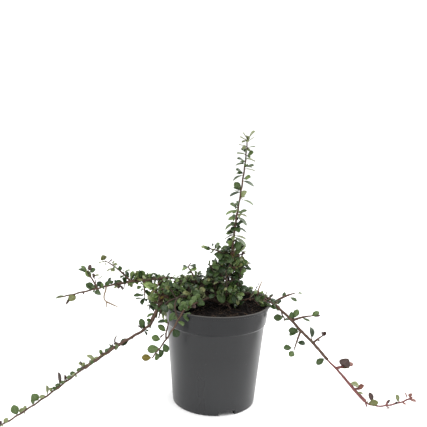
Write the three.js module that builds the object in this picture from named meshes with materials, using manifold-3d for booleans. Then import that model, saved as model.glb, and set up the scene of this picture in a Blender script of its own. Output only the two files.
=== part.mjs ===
// Creeping cotoneaster in a round nursery pot, in millimetres, +Z up.
// The origin is the centre of the pot's underside, on the ground that it stands on.
// +X is to the right and -Y is the front of the plant.
import * as THREE from "three";
import { mergeVertices } from "three/addons/utils/BufferGeometryUtils.js";
import Module from "manifold-3d";

const wasm = await Module();
wasm.setup();

// Clearances
const SEAT_GAP = 0.3;
const CROWN_GAP = 0.4;
const FREE_GAP = 0.7;
const CELL_GAP = 0.35;
const TWIG_GAP = 2.6;
const GROUND_GAP = 0.8;

// Edges shorter than this are merged away after leaves are joined to their twigs
const SHORTEST_EDGE = 0.04;

// Pot
const POT_HEIGHT = 124;
const POT_RIM_RADIUS = 65;
const POT_RIM_DEPTH = 3;
const POT_COLLAR_DEPTH = 24.3;
const POT_COLLAR_TOP_RADIUS = 63.6;
const POT_COLLAR_FOOT_RADIUS = 61.2;
const POT_WALL_TOP_RADIUS = 59.4;
const POT_FOOT_RADIUS = 49.8;
const POT_FOOT_ROUNDING = 1.8;
const POT_WALL = 1.5;
const POT_DISC_RADIUS = 30;
const POT_CHANNEL_RADII = [33, 42];
const POT_CHANNEL_HEIGHT = 5;
const POT_RING_INNER_RADIUS = 44.5;
const POT_SEGMENTS = 36;

// Drainage notches in the foot ring, turned from the front of the pot
const NOTCH_COUNT = 3;
const NOTCH_FIRST_TURN = 20;
const NOTCH_WIDTH = 20;
const NOTCH_HEIGHT = 4.6;
const NOTCH_DEPTH = 14;

// Potting soil
const SOIL_LEVEL = 119;
const SOIL_BUMP = 1.1;
const SOIL_TOP_RINGS = [20, 33, 45, 55];
const SOIL_EDGE_GAP = 1;
const SOIL_WAVES = { x: 0.31, xTurn: 1.7, y: 0.27, yTurn: 0.6 };

// Crown stem, the short woody foot that every limb grows from
const CROWN_X = 10;
const CROWN_Y = 2;
const CROWN_HEIGHT = 15;
const CROWN_FOOT_RADIUS = 8.2;
const CROWN_NECK_RADIUS = 4.7;
const CROWN_FLARE = 2.4;
const CROWN_LEAN_X = 2;
const CROWN_LEAN_Y = -1;
const CROWN_SIDES = 12;
const CROWN_STEPS = 5;
const CROWN_LEVELS = { low: 4.6, high: 11.2 };
const SEAT_RUN = 3.5;

// Limbs, twigs and leaves
const LIMB_SIDES = 6;
const LIMB_STEP = 9;
const STEM_SIDES = 4;
const STEM_STEP = 8;
const TWIG_SIDES = 3;
const TWIG_STEPS = 3;
const TWIG_ROOT_SHARE = 0.75;
const TWIG_TIP_SHARE = 0.55;
const TWIG_ARCH = 0.12;
const SPROUT_FIRST_TURN = 90;
const SPROUT_LIFT = 0.15;
const SPROUT_PLACE_JITTER = 0.04;
const SPROUT_LENGTH_JITTER = 0.3;
const MERGE_DISTANCE = 1e-4;
const SKELETON_STEP = 3;
const LEAF_WIDTH_SHARE = 0.78;
const LEAF_WIDEST_AT = 0.62;
const LEAF_RIDGE_AT = 0.55;
const LEAF_THICKNESS = 0.45;
const LEAF_SIZE_SPREAD = 0.3;
const LEAF_SIZE_TRIES = [1, 0.72];
const LEAF_CLUSTER_FAN = 58;
const LEAF_TURN_JITTER = 50;
const LEAF_TILT_JITTER = 26;
const LEAF_ROLL_JITTER = 0.9;
const LEAF_FORWARD_FACING = 0.6;
const LEAF_ROOT_SINK = 0.2;
const TIP_LEAF_TILT = 12;
const TIP_PAIR_TILT = 42;
const HALF_TURN = 180;
const SPIRAL_TURN = 137.5;

// Places on a leaf that are tested for clear space: share of its length, share of its half width
const LEAF_PROBES = [[0.4, 0], [0.62, 1], [0.62, -1], [0.8, 0.5], [0.8, -0.5], [0.8, 0], [1, 0]];

// Colours
const POT_COLOUR = 0x46484b;
const SOIL_COLOUR = 0x2c211b;
const CROWN_COLOUR = 0x4a352a;
const LIMB_COLOUR = 0x6b4435;
const LEAF_COLOUR = 0x47663c;

// Limbs from the crown stem to the mass of leaves that each one carries
const LIMBS = [
  { name: "bough_upright", seat: "top", radii: [2.1, 1.8],
    through: [[13.3, 0.8, 143]] },
  { name: "bough_left", seat: "low", azimuth: 150, radii: [2.0, 1.5],
    through: [[-14, 7, 134], [-32, 4, 143.5], [-50, 2, 149.5]] },
  { name: "bough_lower_left", seat: "low", azimuth: 190, radii: [2.1, 1.9],
    through: [[-16, -3, 135], [-36, -8, 139.5], [-51, -12, 137]] },
  { name: "bough_front_left", seat: "high", azimuth: 250, radii: [1.5, 1.2],
    through: [[-6, -20, 134], [-20, -36, 133]] },
  { name: "bough_right", seat: "high", azimuth: 355, radii: [2.0, 1.5],
    through: [[34, 1, 134.5], [50, 0, 134], [62, -1, 130]] },
  { name: "bough_back", seat: "high", azimuth: 70, radii: [1.8, 1.3],
    through: [[12, 24, 136], [11, 46, 135], [10, 63, 130], [9, 71, 118]] },
];

// Masses of leaves. Each has one stem, which starts at a limb's tip or on the crown stem, side
// twigs named by where they start along it (mm) and where they reach (mm from there), sprouts
// set by rule between two shares of its length, and leaves set by rule. face is the side that the
// blades turn to.
const MASSES = [
  { name: "foliage_upright", after: "bough_upright", radii: [1.6, 0.5], seed: 19, face: [0.1, -1, 0.2],
    through: [[16, 1, 175], [20, -1, 222], [23.5, 0, 248], [26.5, 1, 272], [29, 0, 298], [30, -1, 320]],
    twigs: [{ at: 35, to: [-29, -4, 11] }, { at: 33, to: [17, -3, 8] }],
    sprouts: { count: 10, from: 0.01, to: 0.28, length: [19, 7], tilt: 64 },
    leaves: { spacing: 6.6, cluster: [3, 2], length: [13.5, 10.5], tilt: [86, 48], lift: 0, tips: 2 } },
  { name: "foliage_foot_left", seat: "high", azimuth: 205, radii: [1.4, 0.7], seed: 23,
    face: [-0.2, -1, 0.3],
    through: [[-1, -6, 140], [-4, -8, 152], [-5, -8, 162], [-9, -7, 170]],
    sprouts: { count: 8, from: 0.1, to: 0.85, length: [15, 9], tilt: 60 },
    leaves: { spacing: 5.4, cluster: [3, 2], length: [12.5, 10.5], tilt: [62, 50], lift: 0.1 } },
  { name: "foliage_foot_right", seat: "high", azimuth: 305, radii: [1.3, 0.6], seed: 37,
    face: [0.3, -1, 0.3],
    through: [[20, -9, 140], [25, -9, 151], [28, -7, 161], [28, -6, 169]],
    sprouts: { count: 7, from: 0.1, to: 0.85, length: [12, 8], tilt: 58 },
    leaves: { spacing: 5.4, cluster: [3, 2], length: [12, 9.5], tilt: [62, 50], lift: 0.05 } },
  { name: "foliage_crown_front", seat: "low", azimuth: 275, radii: [1.2, 0.6], seed: 41, face: [0, -1, 0.5],
    through: [[10, -15, 130], [12, -18, 142], [11, -17, 155], [10, -15, 166]],
    sprouts: { count: 9, from: 0.08, to: 0.9, length: [19, 11], tilt: 68 },
    leaves: { spacing: 5.4, cluster: [3, 2], length: [12.5, 10.5], tilt: [62, 50], lift: 0.05 } },
  { name: "foliage_left_top", seat: "high", azimuth: 165, radii: [1.3, 0.6], seed: 53,
    face: [-0.2, -0.8, 0.7],
    through: [[-8, 2, 139], [-20, -3, 146], [-34, -6, 149.5], [-52, -9, 149]],
    twigs: [{ at: 32, to: [-9, -2, 19] }],
    sprouts: { count: 8, from: 0.2, to: 0.92, length: [15, 11], tilt: 60 },
    leaves: { spacing: 5.4, cluster: [3, 2], length: [12.5, 10.5], tilt: [62, 50], lift: 0 } },
  { name: "foliage_left_front", seat: "low", azimuth: 225, radii: [1.4, 0.7], seed: 67,
    face: [-0.4, -1, 0.6],
    through: [[-12, -16, 131], [-32, -26, 136], [-50, -32, 134], [-62, -38, 125], [-66, -42, 114]],
    twigs: [{ at: 62, to: [4, -20, -34] }],
    sprouts: { count: 9, from: 0.12, to: 0.9, length: [19, 13], tilt: 62 },
    leaves: { spacing: 5.4, cluster: [3, 2], length: [12.5, 10.5], tilt: [62, 50], lift: 0.05 } },
  { name: "foliage_left_inner", after: "bough_left", radii: [1.5, 1.2], seed: 71, face: [0, -0.9, 0.6],
    through: [[-84, -1, 148], [-109, -2, 144], [-124, -3, 141]],
    twigs: [
      { at: 54, to: [-32, 3, 24] },
      { at: 57, to: [24, 6, 4] },
      { at: 38, to: [2, -7, -21] },
      { at: 12, to: [-14, -10, -14] },
    ],
    leaves: { spacing: 6.6, cluster: [3, 1], length: [11, 9.5], tilt: [58, 48], lift: 0.2 } },
  { name: "foliage_left_outer", after: "foliage_left_inner", radii: [1.2, 0.5], seed: 83,
    face: [0, -0.9, 0.6],
    through: [[-139, -4, 137], [-154, -5, 133], [-180, -6, 126], [-191, -6, 123.5]],
    twigs: [{ at: 20, to: [-12, 0, 19] }],
    leaves: { spacing: 8.2, cluster: [1, 1], length: [10, 9], tilt: [55, 20], lift: 0.2 } },
  { name: "foliage_left_lobe", after: "bough_lower_left", radii: [1.8, 1.6], seed: 89,
    face: [-0.2, -0.8, 0.7],
    through: [[-62, -16, 129.5], [-68, -19, 120], [-75, -23, 104]],
    sprouts: { count: 7, from: 0, to: 0.55, length: [17, 12], tilt: 62 },
    leaves: { spacing: 6, cluster: [3, 1], length: [12, 9.5], tilt: [62, 50], lift: 0.25 } },
  { name: "foliage_lower_left_inner", after: "foliage_left_lobe", radii: [1.6, 1.1], seed: 97,
    face: [0.3, -0.6, 0.8],
    through: [[-86, -30, 93.5], [-109, -45, 82.5], [-145, -69, 62]],
    leaves: { spacing: 7.5, cluster: [1, 1], length: [9.5, 8.5], tilt: [42, 34], lift: 0.8 } },
  { name: "foliage_lower_left_outer", after: "foliage_lower_left_inner", radii: [1.1, 0.5], seed: 103,
    face: [0.3, -0.6, 0.8],
    through: [[-179, -91, 39.5], [-209, -109, 22], [-238, -126, 8]],
    leaves: { spacing: 10, cluster: [1, 1], length: [9.5, 10], tilt: [46, 30], lift: 0.9 } },
  { name: "foliage_front_left", after: "bough_front_left", radii: [1.1, 0.5], seed: 110,
    face: [-0.3, -1, 0.2],
    through: [[-31, -50, 131], [-38, -58, 126], [-42.5, -59, 117], [-55.5, -58, 94], [-71, -56, 71]],
    leaves: { spacing: 6.6, cluster: [2, 2], length: [12, 10.5], tilt: [66, 50], lift: 0 } },
  { name: "foliage_right_tuft", seat: "low", azimuth: 325, radii: [1.2, 0.6], seed: 127,
    face: [0.3, -1, 0.5],
    through: [[32, -9, 129], [46, -10, 131], [58, -9, 131], [68, -9, 125]],
    twigs: [{ at: 44, to: [4, 8, 8], bare: true }],
    sprouts: { count: 6, from: 0.35, to: 0.95, length: [12, 9], tilt: 60 },
    leaves: { spacing: 6.6, cluster: [1, 3], length: [10.5, 10], tilt: [58, 48], lift: 0.05 } },
  { name: "foliage_right_upper", after: "bough_right", radii: [1.5, 1.1], seed: 131, face: [0.1, -1, 0.4],
    through: [[71, -2, 122.5], [89, -5, 107], [101.5, -7, 94], [117, -9, 79.5], [136, -11, 59]],
    twigs: [
      { at: 9, to: [25, -1, 13] },
      { at: 40, to: [26, 0, 7] },
      { at: 56, to: [-8, -8, -22] },
      { at: 77, to: [12, 0, 10] },
    ],
    leaves: { spacing: 9.5, cluster: [1, 1], length: [11, 11.5], tilt: [72, 60], lift: 0 } },
  { name: "foliage_right_middle", after: "foliage_right_upper", radii: [1.1, 0.9], seed: 139,
    face: [0.1, -1, 0.4],
    through: [[148, -12, 47.5], [163, -13, 31], [174, -14, 19], [184, -15, 9.5]],
    twigs: [{ at: 15, to: [14, -1, 3] }],
    leaves: { spacing: 15, cluster: [1, 1], length: [11.5, 9], tilt: [62, 45], lift: 0.5 } },
  { name: "foliage_right_tip", after: "foliage_right_middle", radii: [0.9, 0.5], seed: 149,
    face: [0, -1, 0.5],
    through: [[192, -15, 4.6], [205, -15, 3.8], [220, -11, 5], [235, -6, 7.5], [245, -1, 10]],
    leaves: { spacing: 9, cluster: [1, 1], length: [9.5, 7.5], tilt: [48, 30], lift: 0.5 } },
  { name: "foliage_back_left", seat: "high", azimuth: 115, radii: [1.4, 0.7], seed: 151,
    face: [-0.5, 1, 0.5],
    through: [[-2, 20, 134], [-16, 38, 134], [-28, 54, 131], [-36, 63, 122], [-39, 67, 108]],
    sprouts: { count: 6, from: 0.15, to: 0.85, length: [18, 12], tilt: 60 },
    leaves: { spacing: 8, cluster: [2, 2], length: [12.5, 10.5], tilt: [62, 50], lift: 0 } },
  { name: "foliage_back_right", seat: "high", azimuth: 30, radii: [1.3, 0.6], seed: 163, face: [0.6, 1, 0.4],
    through: [[30, 16, 127], [42, 31, 125.5], [51, 43, 126.5], [56, 50, 117], [58, 53, 104]],
    sprouts: { count: 5, from: 0.15, to: 0.85, length: [11, 9], tilt: 60 },
    leaves: { spacing: 8, cluster: [2, 1], length: [12, 9.5], tilt: [62, 50], lift: 0 } },
  { name: "foliage_back", after: "bough_back", radii: [1.3, 0.5], seed: 173, face: [0, 1, 0.4],
    through: [[7, 78, 96], [3, 85, 72], [0, 95, 50], [-5, 108, 34]],
    twigs: [{ at: 24, to: [17, 4, -12] }, { at: 44, to: [-16, 6, -10] }],
    leaves: { spacing: 8.5, cluster: [2, 1], length: [11, 9], tilt: [60, 40], lift: 0.1 } },
];

const UP = new THREE.Vector3(0, 0, 1);

// Numbers from 0 to 1 that are the same on every run
function seededRandom(seed) {
  let state = seed >>> 0;
  return () => {
    state = (state + 0x6d2b79f5) >>> 0;
    let mixed = Math.imul(state ^ (state >>> 15), 1 | state);
    mixed = (mixed + Math.imul(mixed ^ (mixed >>> 7), 61 | mixed)) ^ mixed;
    return ((mixed ^ (mixed >>> 14)) >>> 0) / 4294967296;
  };
}

function centred(random, spread) {
  return (random() - 0.5) * spread;
}

// A closed geometry as a solid that can be joined and cut
function toSolid(geometry) {
  const bare = geometry.clone();
  bare.deleteAttribute("normal");
  bare.deleteAttribute("uv");
  const merged = mergeVertices(bare, MERGE_DISTANCE);
  const corners = merged.index.array;
  const kept = [];
  for (let i = 0; i < corners.length; i += 3) {
    const [a, b, c] = [corners[i], corners[i + 1], corners[i + 2]];
    if (a !== b && b !== c && c !== a) {
      kept.push(a, b, c);
    }
  }
  const vertProperties = new Float32Array(merged.attributes.position.array);
  const triVerts = new Uint32Array(kept);
  return new wasm.Manifold(new wasm.Mesh({ numProp: 3, vertProperties, triVerts }));
}

function toGeometry(solid) {
  const mesh = solid.getMesh();
  const geometry = new THREE.BufferGeometry();
  geometry.setAttribute("position", new THREE.BufferAttribute(new Float32Array(mesh.vertProperties), 3));
  geometry.setIndex(new THREE.BufferAttribute(new Uint32Array(mesh.triVerts), 1));
  return geometry;
}

// A lathe turned about Z from radius and height pairs
function turned(profile, segments) {
  const points = profile.map(([radius, height]) => new THREE.Vector2(radius, height));
  const geometry = new THREE.LatheGeometry(points, segments);
  geometry.rotateX(Math.PI / 2);
  return geometry;
}

const COLLAR_FOOT_HEIGHT = POT_HEIGHT - POT_COLLAR_DEPTH;
const COLLAR_TOP_HEIGHT = POT_HEIGHT - POT_RIM_DEPTH;

// Outer radius of the pot at a height
function potRadiusAt(height) {
  if (height >= COLLAR_TOP_HEIGHT) {
    return POT_RIM_RADIUS;
  }
  if (height >= COLLAR_FOOT_HEIGHT) {
    const share = (height - COLLAR_FOOT_HEIGHT) / (COLLAR_TOP_HEIGHT - COLLAR_FOOT_HEIGHT);
    return THREE.MathUtils.lerp(POT_COLLAR_FOOT_RADIUS, POT_COLLAR_TOP_RADIUS, share);
  }
  return THREE.MathUtils.lerp(POT_FOOT_RADIUS, POT_WALL_TOP_RADIUS, height / COLLAR_FOOT_HEIGHT);
}

// Outside of the pot from the middle of its underside to the rim
function potOutside() {
  return [
    [0, 0],
    [POT_DISC_RADIUS, 0],
    [POT_CHANNEL_RADII[0], POT_CHANNEL_HEIGHT],
    [POT_CHANNEL_RADII[1], POT_CHANNEL_HEIGHT],
    [POT_RING_INNER_RADIUS, 0],
    [POT_FOOT_RADIUS - POT_FOOT_ROUNDING, 0],
    [POT_FOOT_RADIUS, POT_FOOT_ROUNDING],
    [POT_WALL_TOP_RADIUS, COLLAR_FOOT_HEIGHT],
    [POT_COLLAR_FOOT_RADIUS, COLLAR_FOOT_HEIGHT + POT_WALL],
    [POT_COLLAR_TOP_RADIUS, COLLAR_TOP_HEIGHT],
    [POT_RIM_RADIUS, COLLAR_TOP_HEIGHT],
    [POT_RIM_RADIUS, POT_HEIGHT],
  ];
}

// Inside of the pot from the rim to the middle of its floor, a wall's thickness further in
function potInside() {
  const floor = POT_WALL;
  const channelTop = POT_CHANNEL_HEIGHT + POT_WALL;
  return [
    [POT_COLLAR_TOP_RADIUS - POT_WALL, POT_HEIGHT],
    [POT_COLLAR_TOP_RADIUS - POT_WALL, COLLAR_TOP_HEIGHT],
    [POT_COLLAR_FOOT_RADIUS - POT_WALL, COLLAR_FOOT_HEIGHT + 2 * POT_WALL],
    [POT_WALL_TOP_RADIUS - POT_WALL, COLLAR_FOOT_HEIGHT + POT_WALL],
    [POT_FOOT_RADIUS - POT_WALL, floor + POT_FOOT_ROUNDING],
    [POT_FOOT_RADIUS - POT_WALL - POT_FOOT_ROUNDING, floor],
    [POT_RING_INNER_RADIUS + POT_WALL, floor],
    [POT_CHANNEL_RADII[1] + POT_WALL, channelTop],
    [POT_CHANNEL_RADII[0] - POT_WALL, channelTop],
    [POT_DISC_RADIUS - POT_WALL, floor],
    [0, floor],
  ];
}

function potGeometry() {
  let pot = toSolid(turned([...potOutside(), ...potInside()], POT_SEGMENTS));
  for (let i = 0; i < NOTCH_COUNT; i += 1) {
    const notch = new THREE.BoxGeometry(NOTCH_WIDTH, NOTCH_DEPTH, 2 * NOTCH_HEIGHT);
    notch.translate(0, -POT_FOOT_RADIUS, 0);
    notch.rotateZ(THREE.MathUtils.degToRad(NOTCH_FIRST_TURN + (i * 360) / NOTCH_COUNT));
    pot = pot.subtract(toSolid(notch));
  }
  return toGeometry(pot);
}

// Soil that fills the pot, with a lumpy top that is flat under the crown stem
function soilGeometry() {
  const edge = POT_COLLAR_TOP_RADIUS - POT_WALL - SOIL_EDGE_GAP;
  const step = POT_WALL_TOP_RADIUS - POT_WALL - SEAT_GAP;
  const foot = POT_FOOT_RADIUS - POT_WALL - POT_FOOT_ROUNDING - SEAT_GAP;
  const bottom = POT_CHANNEL_HEIGHT + POT_WALL + SEAT_GAP;
  const footAtBottom = foot + POT_FOOT_ROUNDING;
  const profile = [
    [0, bottom],
    [footAtBottom, bottom],
    [step, COLLAR_FOOT_HEIGHT + POT_WALL],
    [POT_COLLAR_FOOT_RADIUS - POT_WALL - SEAT_GAP, COLLAR_FOOT_HEIGHT + 3 * POT_WALL],
    [edge, SOIL_LEVEL],
    ...SOIL_TOP_RINGS.toReversed().map((radius) => [radius, SOIL_LEVEL]),
    [0, SOIL_LEVEL],
  ];
  const geometry = turned(profile, POT_SEGMENTS);
  const position = geometry.attributes.position;
  const outerRing = SOIL_TOP_RINGS[SOIL_TOP_RINGS.length - 1] + 1;
  for (let i = 0; i < position.count; i += 1) {
    const x = position.getX(i);
    const y = position.getY(i);
    const radius = Math.hypot(x, y);
    if (position.getZ(i) > SOIL_LEVEL - 1e-3 && radius > SOIL_TOP_RINGS[0] + 1 && radius < outerRing) {
      const waveX = Math.sin(SOIL_WAVES.x * x + SOIL_WAVES.xTurn);
      const waveY = Math.cos(SOIL_WAVES.y * y - SOIL_WAVES.yTurn);
      position.setZ(i, SOIL_LEVEL + SOIL_BUMP * waveX * waveY);
    }
  }
  return toGeometry(toSolid(geometry));
}

// A limb along a curve: a cylinder whose rings follow the curve and take a radius at each step
function limbGeometry(curve, radiusAt, sides, steps) {
  const geometry = new THREE.CylinderGeometry(1, 1, 1, sides, steps);
  const frames = curve.computeFrenetFrames(steps, false);
  const centres = curve.getSpacedPoints(steps);
  const position = geometry.attributes.position;
  const point = new THREE.Vector3();
  for (let i = 0; i < position.count; i += 1) {
    const ring = Math.round((position.getY(i) + 0.5) * steps);
    const radius = radiusAt(ring / steps);
    point.copy(centres[ring]);
    point.addScaledVector(frames.normals[ring], position.getX(i) * radius);
    point.addScaledVector(frames.binormals[ring], -position.getZ(i) * radius);
    position.setXYZ(i, point.x, point.y, point.z);
  }
  return geometry;
}

function taper(radii) {
  return (share) => THREE.MathUtils.lerp(radii[0], radii[1], share);
}

// The crown stem's radius at a share of its height: wide at the foot and narrow at the neck
function crownRadius(share) {
  return CROWN_NECK_RADIUS + (CROWN_FOOT_RADIUS - CROWN_NECK_RADIUS) * (1 - share) ** CROWN_FLARE;
}

function crownCurve() {
  const foot = new THREE.Vector3(CROWN_X, CROWN_Y, SOIL_LEVEL + SEAT_GAP);
  const middle = foot.clone().add(new THREE.Vector3(0, 0, CROWN_HEIGHT / 2));
  const lean = new THREE.Vector3(CROWN_LEAN_X, CROWN_LEAN_Y, CROWN_HEIGHT);
  return new THREE.QuadraticBezierCurve3(foot, middle, foot.clone().add(lean));
}

// The first two points of a limb that grows from the side or the top of the crown stem
function crownSeat(limb) {
  const curve = crownCurve();
  if (limb.seat === "top") {
    const upward = curve.getTangent(1);
    const start = curve.getPoint(1).addScaledVector(upward, SEAT_GAP);
    return [start, start.clone().addScaledVector(upward, SEAT_RUN)];
  }
  const share = CROWN_LEVELS[limb.seat] / CROWN_HEIGHT;
  const angle = THREE.MathUtils.degToRad(limb.azimuth);
  const outward = new THREE.Vector3(Math.cos(angle), Math.sin(angle), 0);
  const lowest = share - limb.radii[0] / CROWN_HEIGHT;
  const start = curve.getPoint(share).addScaledVector(outward, crownRadius(lowest) + CROWN_GAP);
  return [start, start.clone().addScaledVector(outward, SEAT_RUN)];
}

function curveThrough(start, through) {
  return new THREE.CatmullRomCurve3([...start, ...through.map((point) => new THREE.Vector3(...point))]);
}

// The first two points of a stem that goes on from the tip of the limb or mass before it
function tipSeat(curve) {
  const onward = curve.getTangent(1);
  const start = curve.getPoint(1).addScaledVector(onward, SEAT_GAP);
  return [start, start.clone().addScaledVector(onward, SEAT_RUN)];
}

const curves = {};
for (const limb of LIMBS) {
  curves[limb.name] = curveThrough(crownSeat(limb), limb.through);
}
for (const mass of MASSES) {
  const start = mass.after ? tipSeat(curves[mass.after]) : crownSeat(mass);
  curves[mass.name] = curveThrough(start, mass.through);
}

// Points a fixed run apart along a curve, each with its owner and the radius there
function skeletonOf(owner, curve, radiusAt) {
  const count = Math.max(2, Math.ceil(curve.getLength() / SKELETON_STEP));
  return curve.getSpacedPoints(count).map((point, i) => ({ owner, point, radius: radiusAt(i / count) }));
}

const skeleton = [];
skeleton.push(...skeletonOf("crown_stem", crownCurve(), crownRadius));
for (const limb of LIMBS) {
  skeleton.push(...skeletonOf(limb.name, curves[limb.name], taper(limb.radii)));
}
for (const mass of MASSES) {
  skeleton.push(...skeletonOf(mass.name, curves[mass.name], taper(mass.radii)));
}
const massNames = new Set(MASSES.map((mass) => mass.name));

// True where a point is clear of the ground, the pot and the soil
function clearOfPot(point) {
  if (point.z < GROUND_GAP) {
    return false;
  }
  const radius = Math.hypot(point.x, point.y);
  if (point.z > POT_HEIGHT + FREE_GAP || radius > potRadiusAt(point.z) + FREE_GAP) {
    return true;
  }
  const soilTop = SOIL_LEVEL + SOIL_BUMP + FREE_GAP;
  return point.z > soilTop && radius < POT_COLLAR_TOP_RADIUS - POT_WALL - FREE_GAP;
}

// True where a point is in the space of its own mass: nearer to that mass's stem and twigs than
// to any other mass's, and clear of every limb
function inOwnSpace(point, owner, gap) {
  let own = Infinity;
  let other = Infinity;
  for (const part of skeleton) {
    const distance = part.point.distanceTo(point);
    if (part.owner === owner) {
      own = Math.min(own, distance);
    } else if (massNames.has(part.owner)) {
      other = Math.min(other, distance - part.radius / 2);
    } else if (distance < part.radius + gap + FREE_GAP) {
      return false;
    }
  }
  return own + gap < other;
}

function twigIsClear(curve, owner) {
  const points = curve.getSpacedPoints(Math.ceil(curve.getLength() / SKELETON_STEP));
  for (const point of points.slice(1)) {
    for (const part of skeleton) {
      const apart = part.point.distanceTo(point) - part.radius;
      if (part.owner !== owner && apart < TWIG_GAP) {
        return false;
      }
    }
    if (!clearOfPot(point)) {
      return false;
    }
  }
  return true;
}

// Point, heading and the two side directions at a share of the way along a curve
function placeOn(curve, share, face) {
  const point = curve.getPointAt(share);
  const heading = curve.getTangentAt(share);
  const sideways = new THREE.Vector3().crossVectors(face, heading).normalize();
  const outward = new THREE.Vector3().crossVectors(heading, sideways);
  return { point, heading, sideways, outward };
}

// A direction that leaves a stem at a tilt from its heading and at a turn about it
function leaving(place, turn, tilt, lift) {
  const turnAngle = THREE.MathUtils.degToRad(turn);
  const tiltAngle = THREE.MathUtils.degToRad(tilt);
  return new THREE.Vector3()
    .addScaledVector(place.heading, Math.cos(tiltAngle))
    .addScaledVector(place.sideways, Math.sin(tiltAngle) * Math.cos(turnAngle))
    .addScaledVector(place.outward, Math.sin(tiltAngle) * Math.sin(turnAngle))
    .addScaledVector(UP, lift)
    .normalize();
}

// A side twig that arches up a little on its way to its tip
function twigCurve(start, reach) {
  const middle = start.clone().addScaledVector(reach, 0.5);
  middle.z += TWIG_ARCH * reach.length();
  return new THREE.QuadraticBezierCurve3(start, middle, start.clone().add(reach));
}

// The twigs of a mass: those that its row names, then the sprouts that its rule sets
function growTwigs(mass, random) {
  const stem = curves[mass.name];
  const run = stem.getLength();
  const face = new THREE.Vector3(...mass.face);
  const twigs = [];
  const tryTwig = (share, reach, bare) => {
    const curve = twigCurve(stem.getPointAt(share), reach);
    if (twigIsClear(curve, mass.name)) {
      const root = THREE.MathUtils.lerp(...mass.radii, share) * TWIG_ROOT_SHARE;
      const radii = [root, root * TWIG_TIP_SHARE];
      twigs.push({ curve, radii, bare });
      skeleton.push(...skeletonOf(mass.name, curve, taper(radii)));
    }
  };
  for (const twig of mass.twigs ?? []) {
    tryTwig(twig.at / run, new THREE.Vector3(...twig.to), twig.bare ?? false);
  }
  const rule = mass.sprouts ?? { count: 0 };
  for (let i = 0; i < rule.count; i += 1) {
    const step = (i + 1) / (rule.count + 1);
    const share = THREE.MathUtils.lerp(rule.from, rule.to, step) + centred(random, SPROUT_PLACE_JITTER);
    const place = placeOn(stem, Math.max(share, 0), face);
    const turn = SPROUT_FIRST_TURN + i * SPIRAL_TURN + centred(random, LEAF_TURN_JITTER);
    const reach = leaving(place, turn, rule.tilt + centred(random, LEAF_TILT_JITTER), SPROUT_LIFT);
    const size = THREE.MathUtils.lerp(...rule.length, step) * (1 + centred(random, SPROUT_LENGTH_JITTER));
    tryTwig(Math.max(share, 0), reach.multiplyScalar(size), false);
  }
  return twigs;
}

// A leaf of unit length with its root at the origin and its tip along X: a flat kite underneath
// and a low ridge on top, one unit high
function leafTemplate() {
  const side = LEAF_WIDTH_SHARE / 2;
  const rim = [[0, 0, 0], [LEAF_WIDEST_AT, side, 0], [1, 0, 0], [LEAF_WIDEST_AT, -side, 0]];
  const corners = [...rim, [LEAF_RIDGE_AT, 0, 1]];
  const faces = [[1, 0, 4], [2, 1, 4], [3, 2, 4], [0, 3, 4], [0, 1, 3], [1, 2, 3]];
  const leaf = new THREE.BufferGeometry();
  leaf.setFromPoints(corners.map((corner) => new THREE.Vector3(...corner)));
  leaf.setIndex(faces.flat());
  return leaf;
}

const LEAF_TEMPLATE = leafTemplate();

// Matrix that carries the template to a root, a direction, a blade normal and a length
function leafMatrix(root, direction, gaze, length) {
  const across = new THREE.Vector3().crossVectors(gaze, direction).normalize();
  const normal = new THREE.Vector3().crossVectors(direction, across);
  const basis = new THREE.Matrix4().makeBasis(direction, across, normal);
  basis.scale(new THREE.Vector3(length, length, LEAF_THICKNESS));
  return basis.setPosition(root);
}

function leafIsClear(matrix, owner) {
  for (const [along, across] of LEAF_PROBES) {
    const point = new THREE.Vector3(along, (across * LEAF_WIDTH_SHARE) / 2, 0).applyMatrix4(matrix);
    if (!clearOfPot(point) || !inOwnSpace(point, owner, CELL_GAP)) {
      return false;
    }
  }
  return true;
}

// The leaves along one stem or twig, in clusters on alternate sides, with one or two at the tip.
// A leaf that isn't clear is tried again smaller, and left out if that isn't clear either.
function growLeaves(mass, curve, random, firstTurn) {
  const rule = mass.leaves;
  const run = curve.getLength();
  const face = new THREE.Vector3(...mass.face).normalize();
  const count = Math.max(1, Math.floor(run / rule.spacing));
  const matrices = [];
  for (let node = 1; node <= count; node += 1) {
    const share = node / count;
    const place = placeOn(curve, share, face);
    const atTip = node === count;
    const tips = rule.tips ?? 1;
    const cluster = atTip ? tips : Math.round(THREE.MathUtils.lerp(...rule.cluster, share));
    const tipTilt = tips > 1 ? TIP_PAIR_TILT : TIP_LEAF_TILT;
    const meanTilt = atTip ? tipTilt : THREE.MathUtils.lerp(...rule.tilt, share);
    for (let i = 0; i < cluster; i += 1) {
      const fan = atTip ? i * HALF_TURN : (i - (cluster - 1) / 2) * LEAF_CLUSTER_FAN;
      const turn = firstTurn + node * HALF_TURN + fan + centred(random, LEAF_TURN_JITTER);
      const tilt = meanTilt + centred(random, LEAF_TILT_JITTER);
      const direction = leaving(place, turn, tilt, rule.lift);
      const gaze = face.clone().addScaledVector(place.heading, LEAF_FORWARD_FACING);
      gaze.x += centred(random, LEAF_ROLL_JITTER);
      gaze.y += centred(random, LEAF_ROLL_JITTER);
      gaze.z += centred(random, LEAF_ROLL_JITTER);
      const size = THREE.MathUtils.lerp(...rule.length, share) * (1 + centred(random, LEAF_SIZE_SPREAD));
      const root = place.point.clone().addScaledVector(direction, -LEAF_ROOT_SINK);
      const tries = LEAF_SIZE_TRIES.map((part) => leafMatrix(root, direction, gaze, part * size));
      const fitting = tries.find((matrix) => leafIsClear(matrix, mass.name));
      if (fitting) {
        matrices.push(fitting);
      }
    }
  }
  return matrices;
}

// The body of a solid that holds most of it, without loose scraps
function largestBody(solid) {
  const bodies = solid.decompose();
  return bodies.reduce((largest, body) => (body.volume() > largest.volume() ? body : largest));
}

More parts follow.
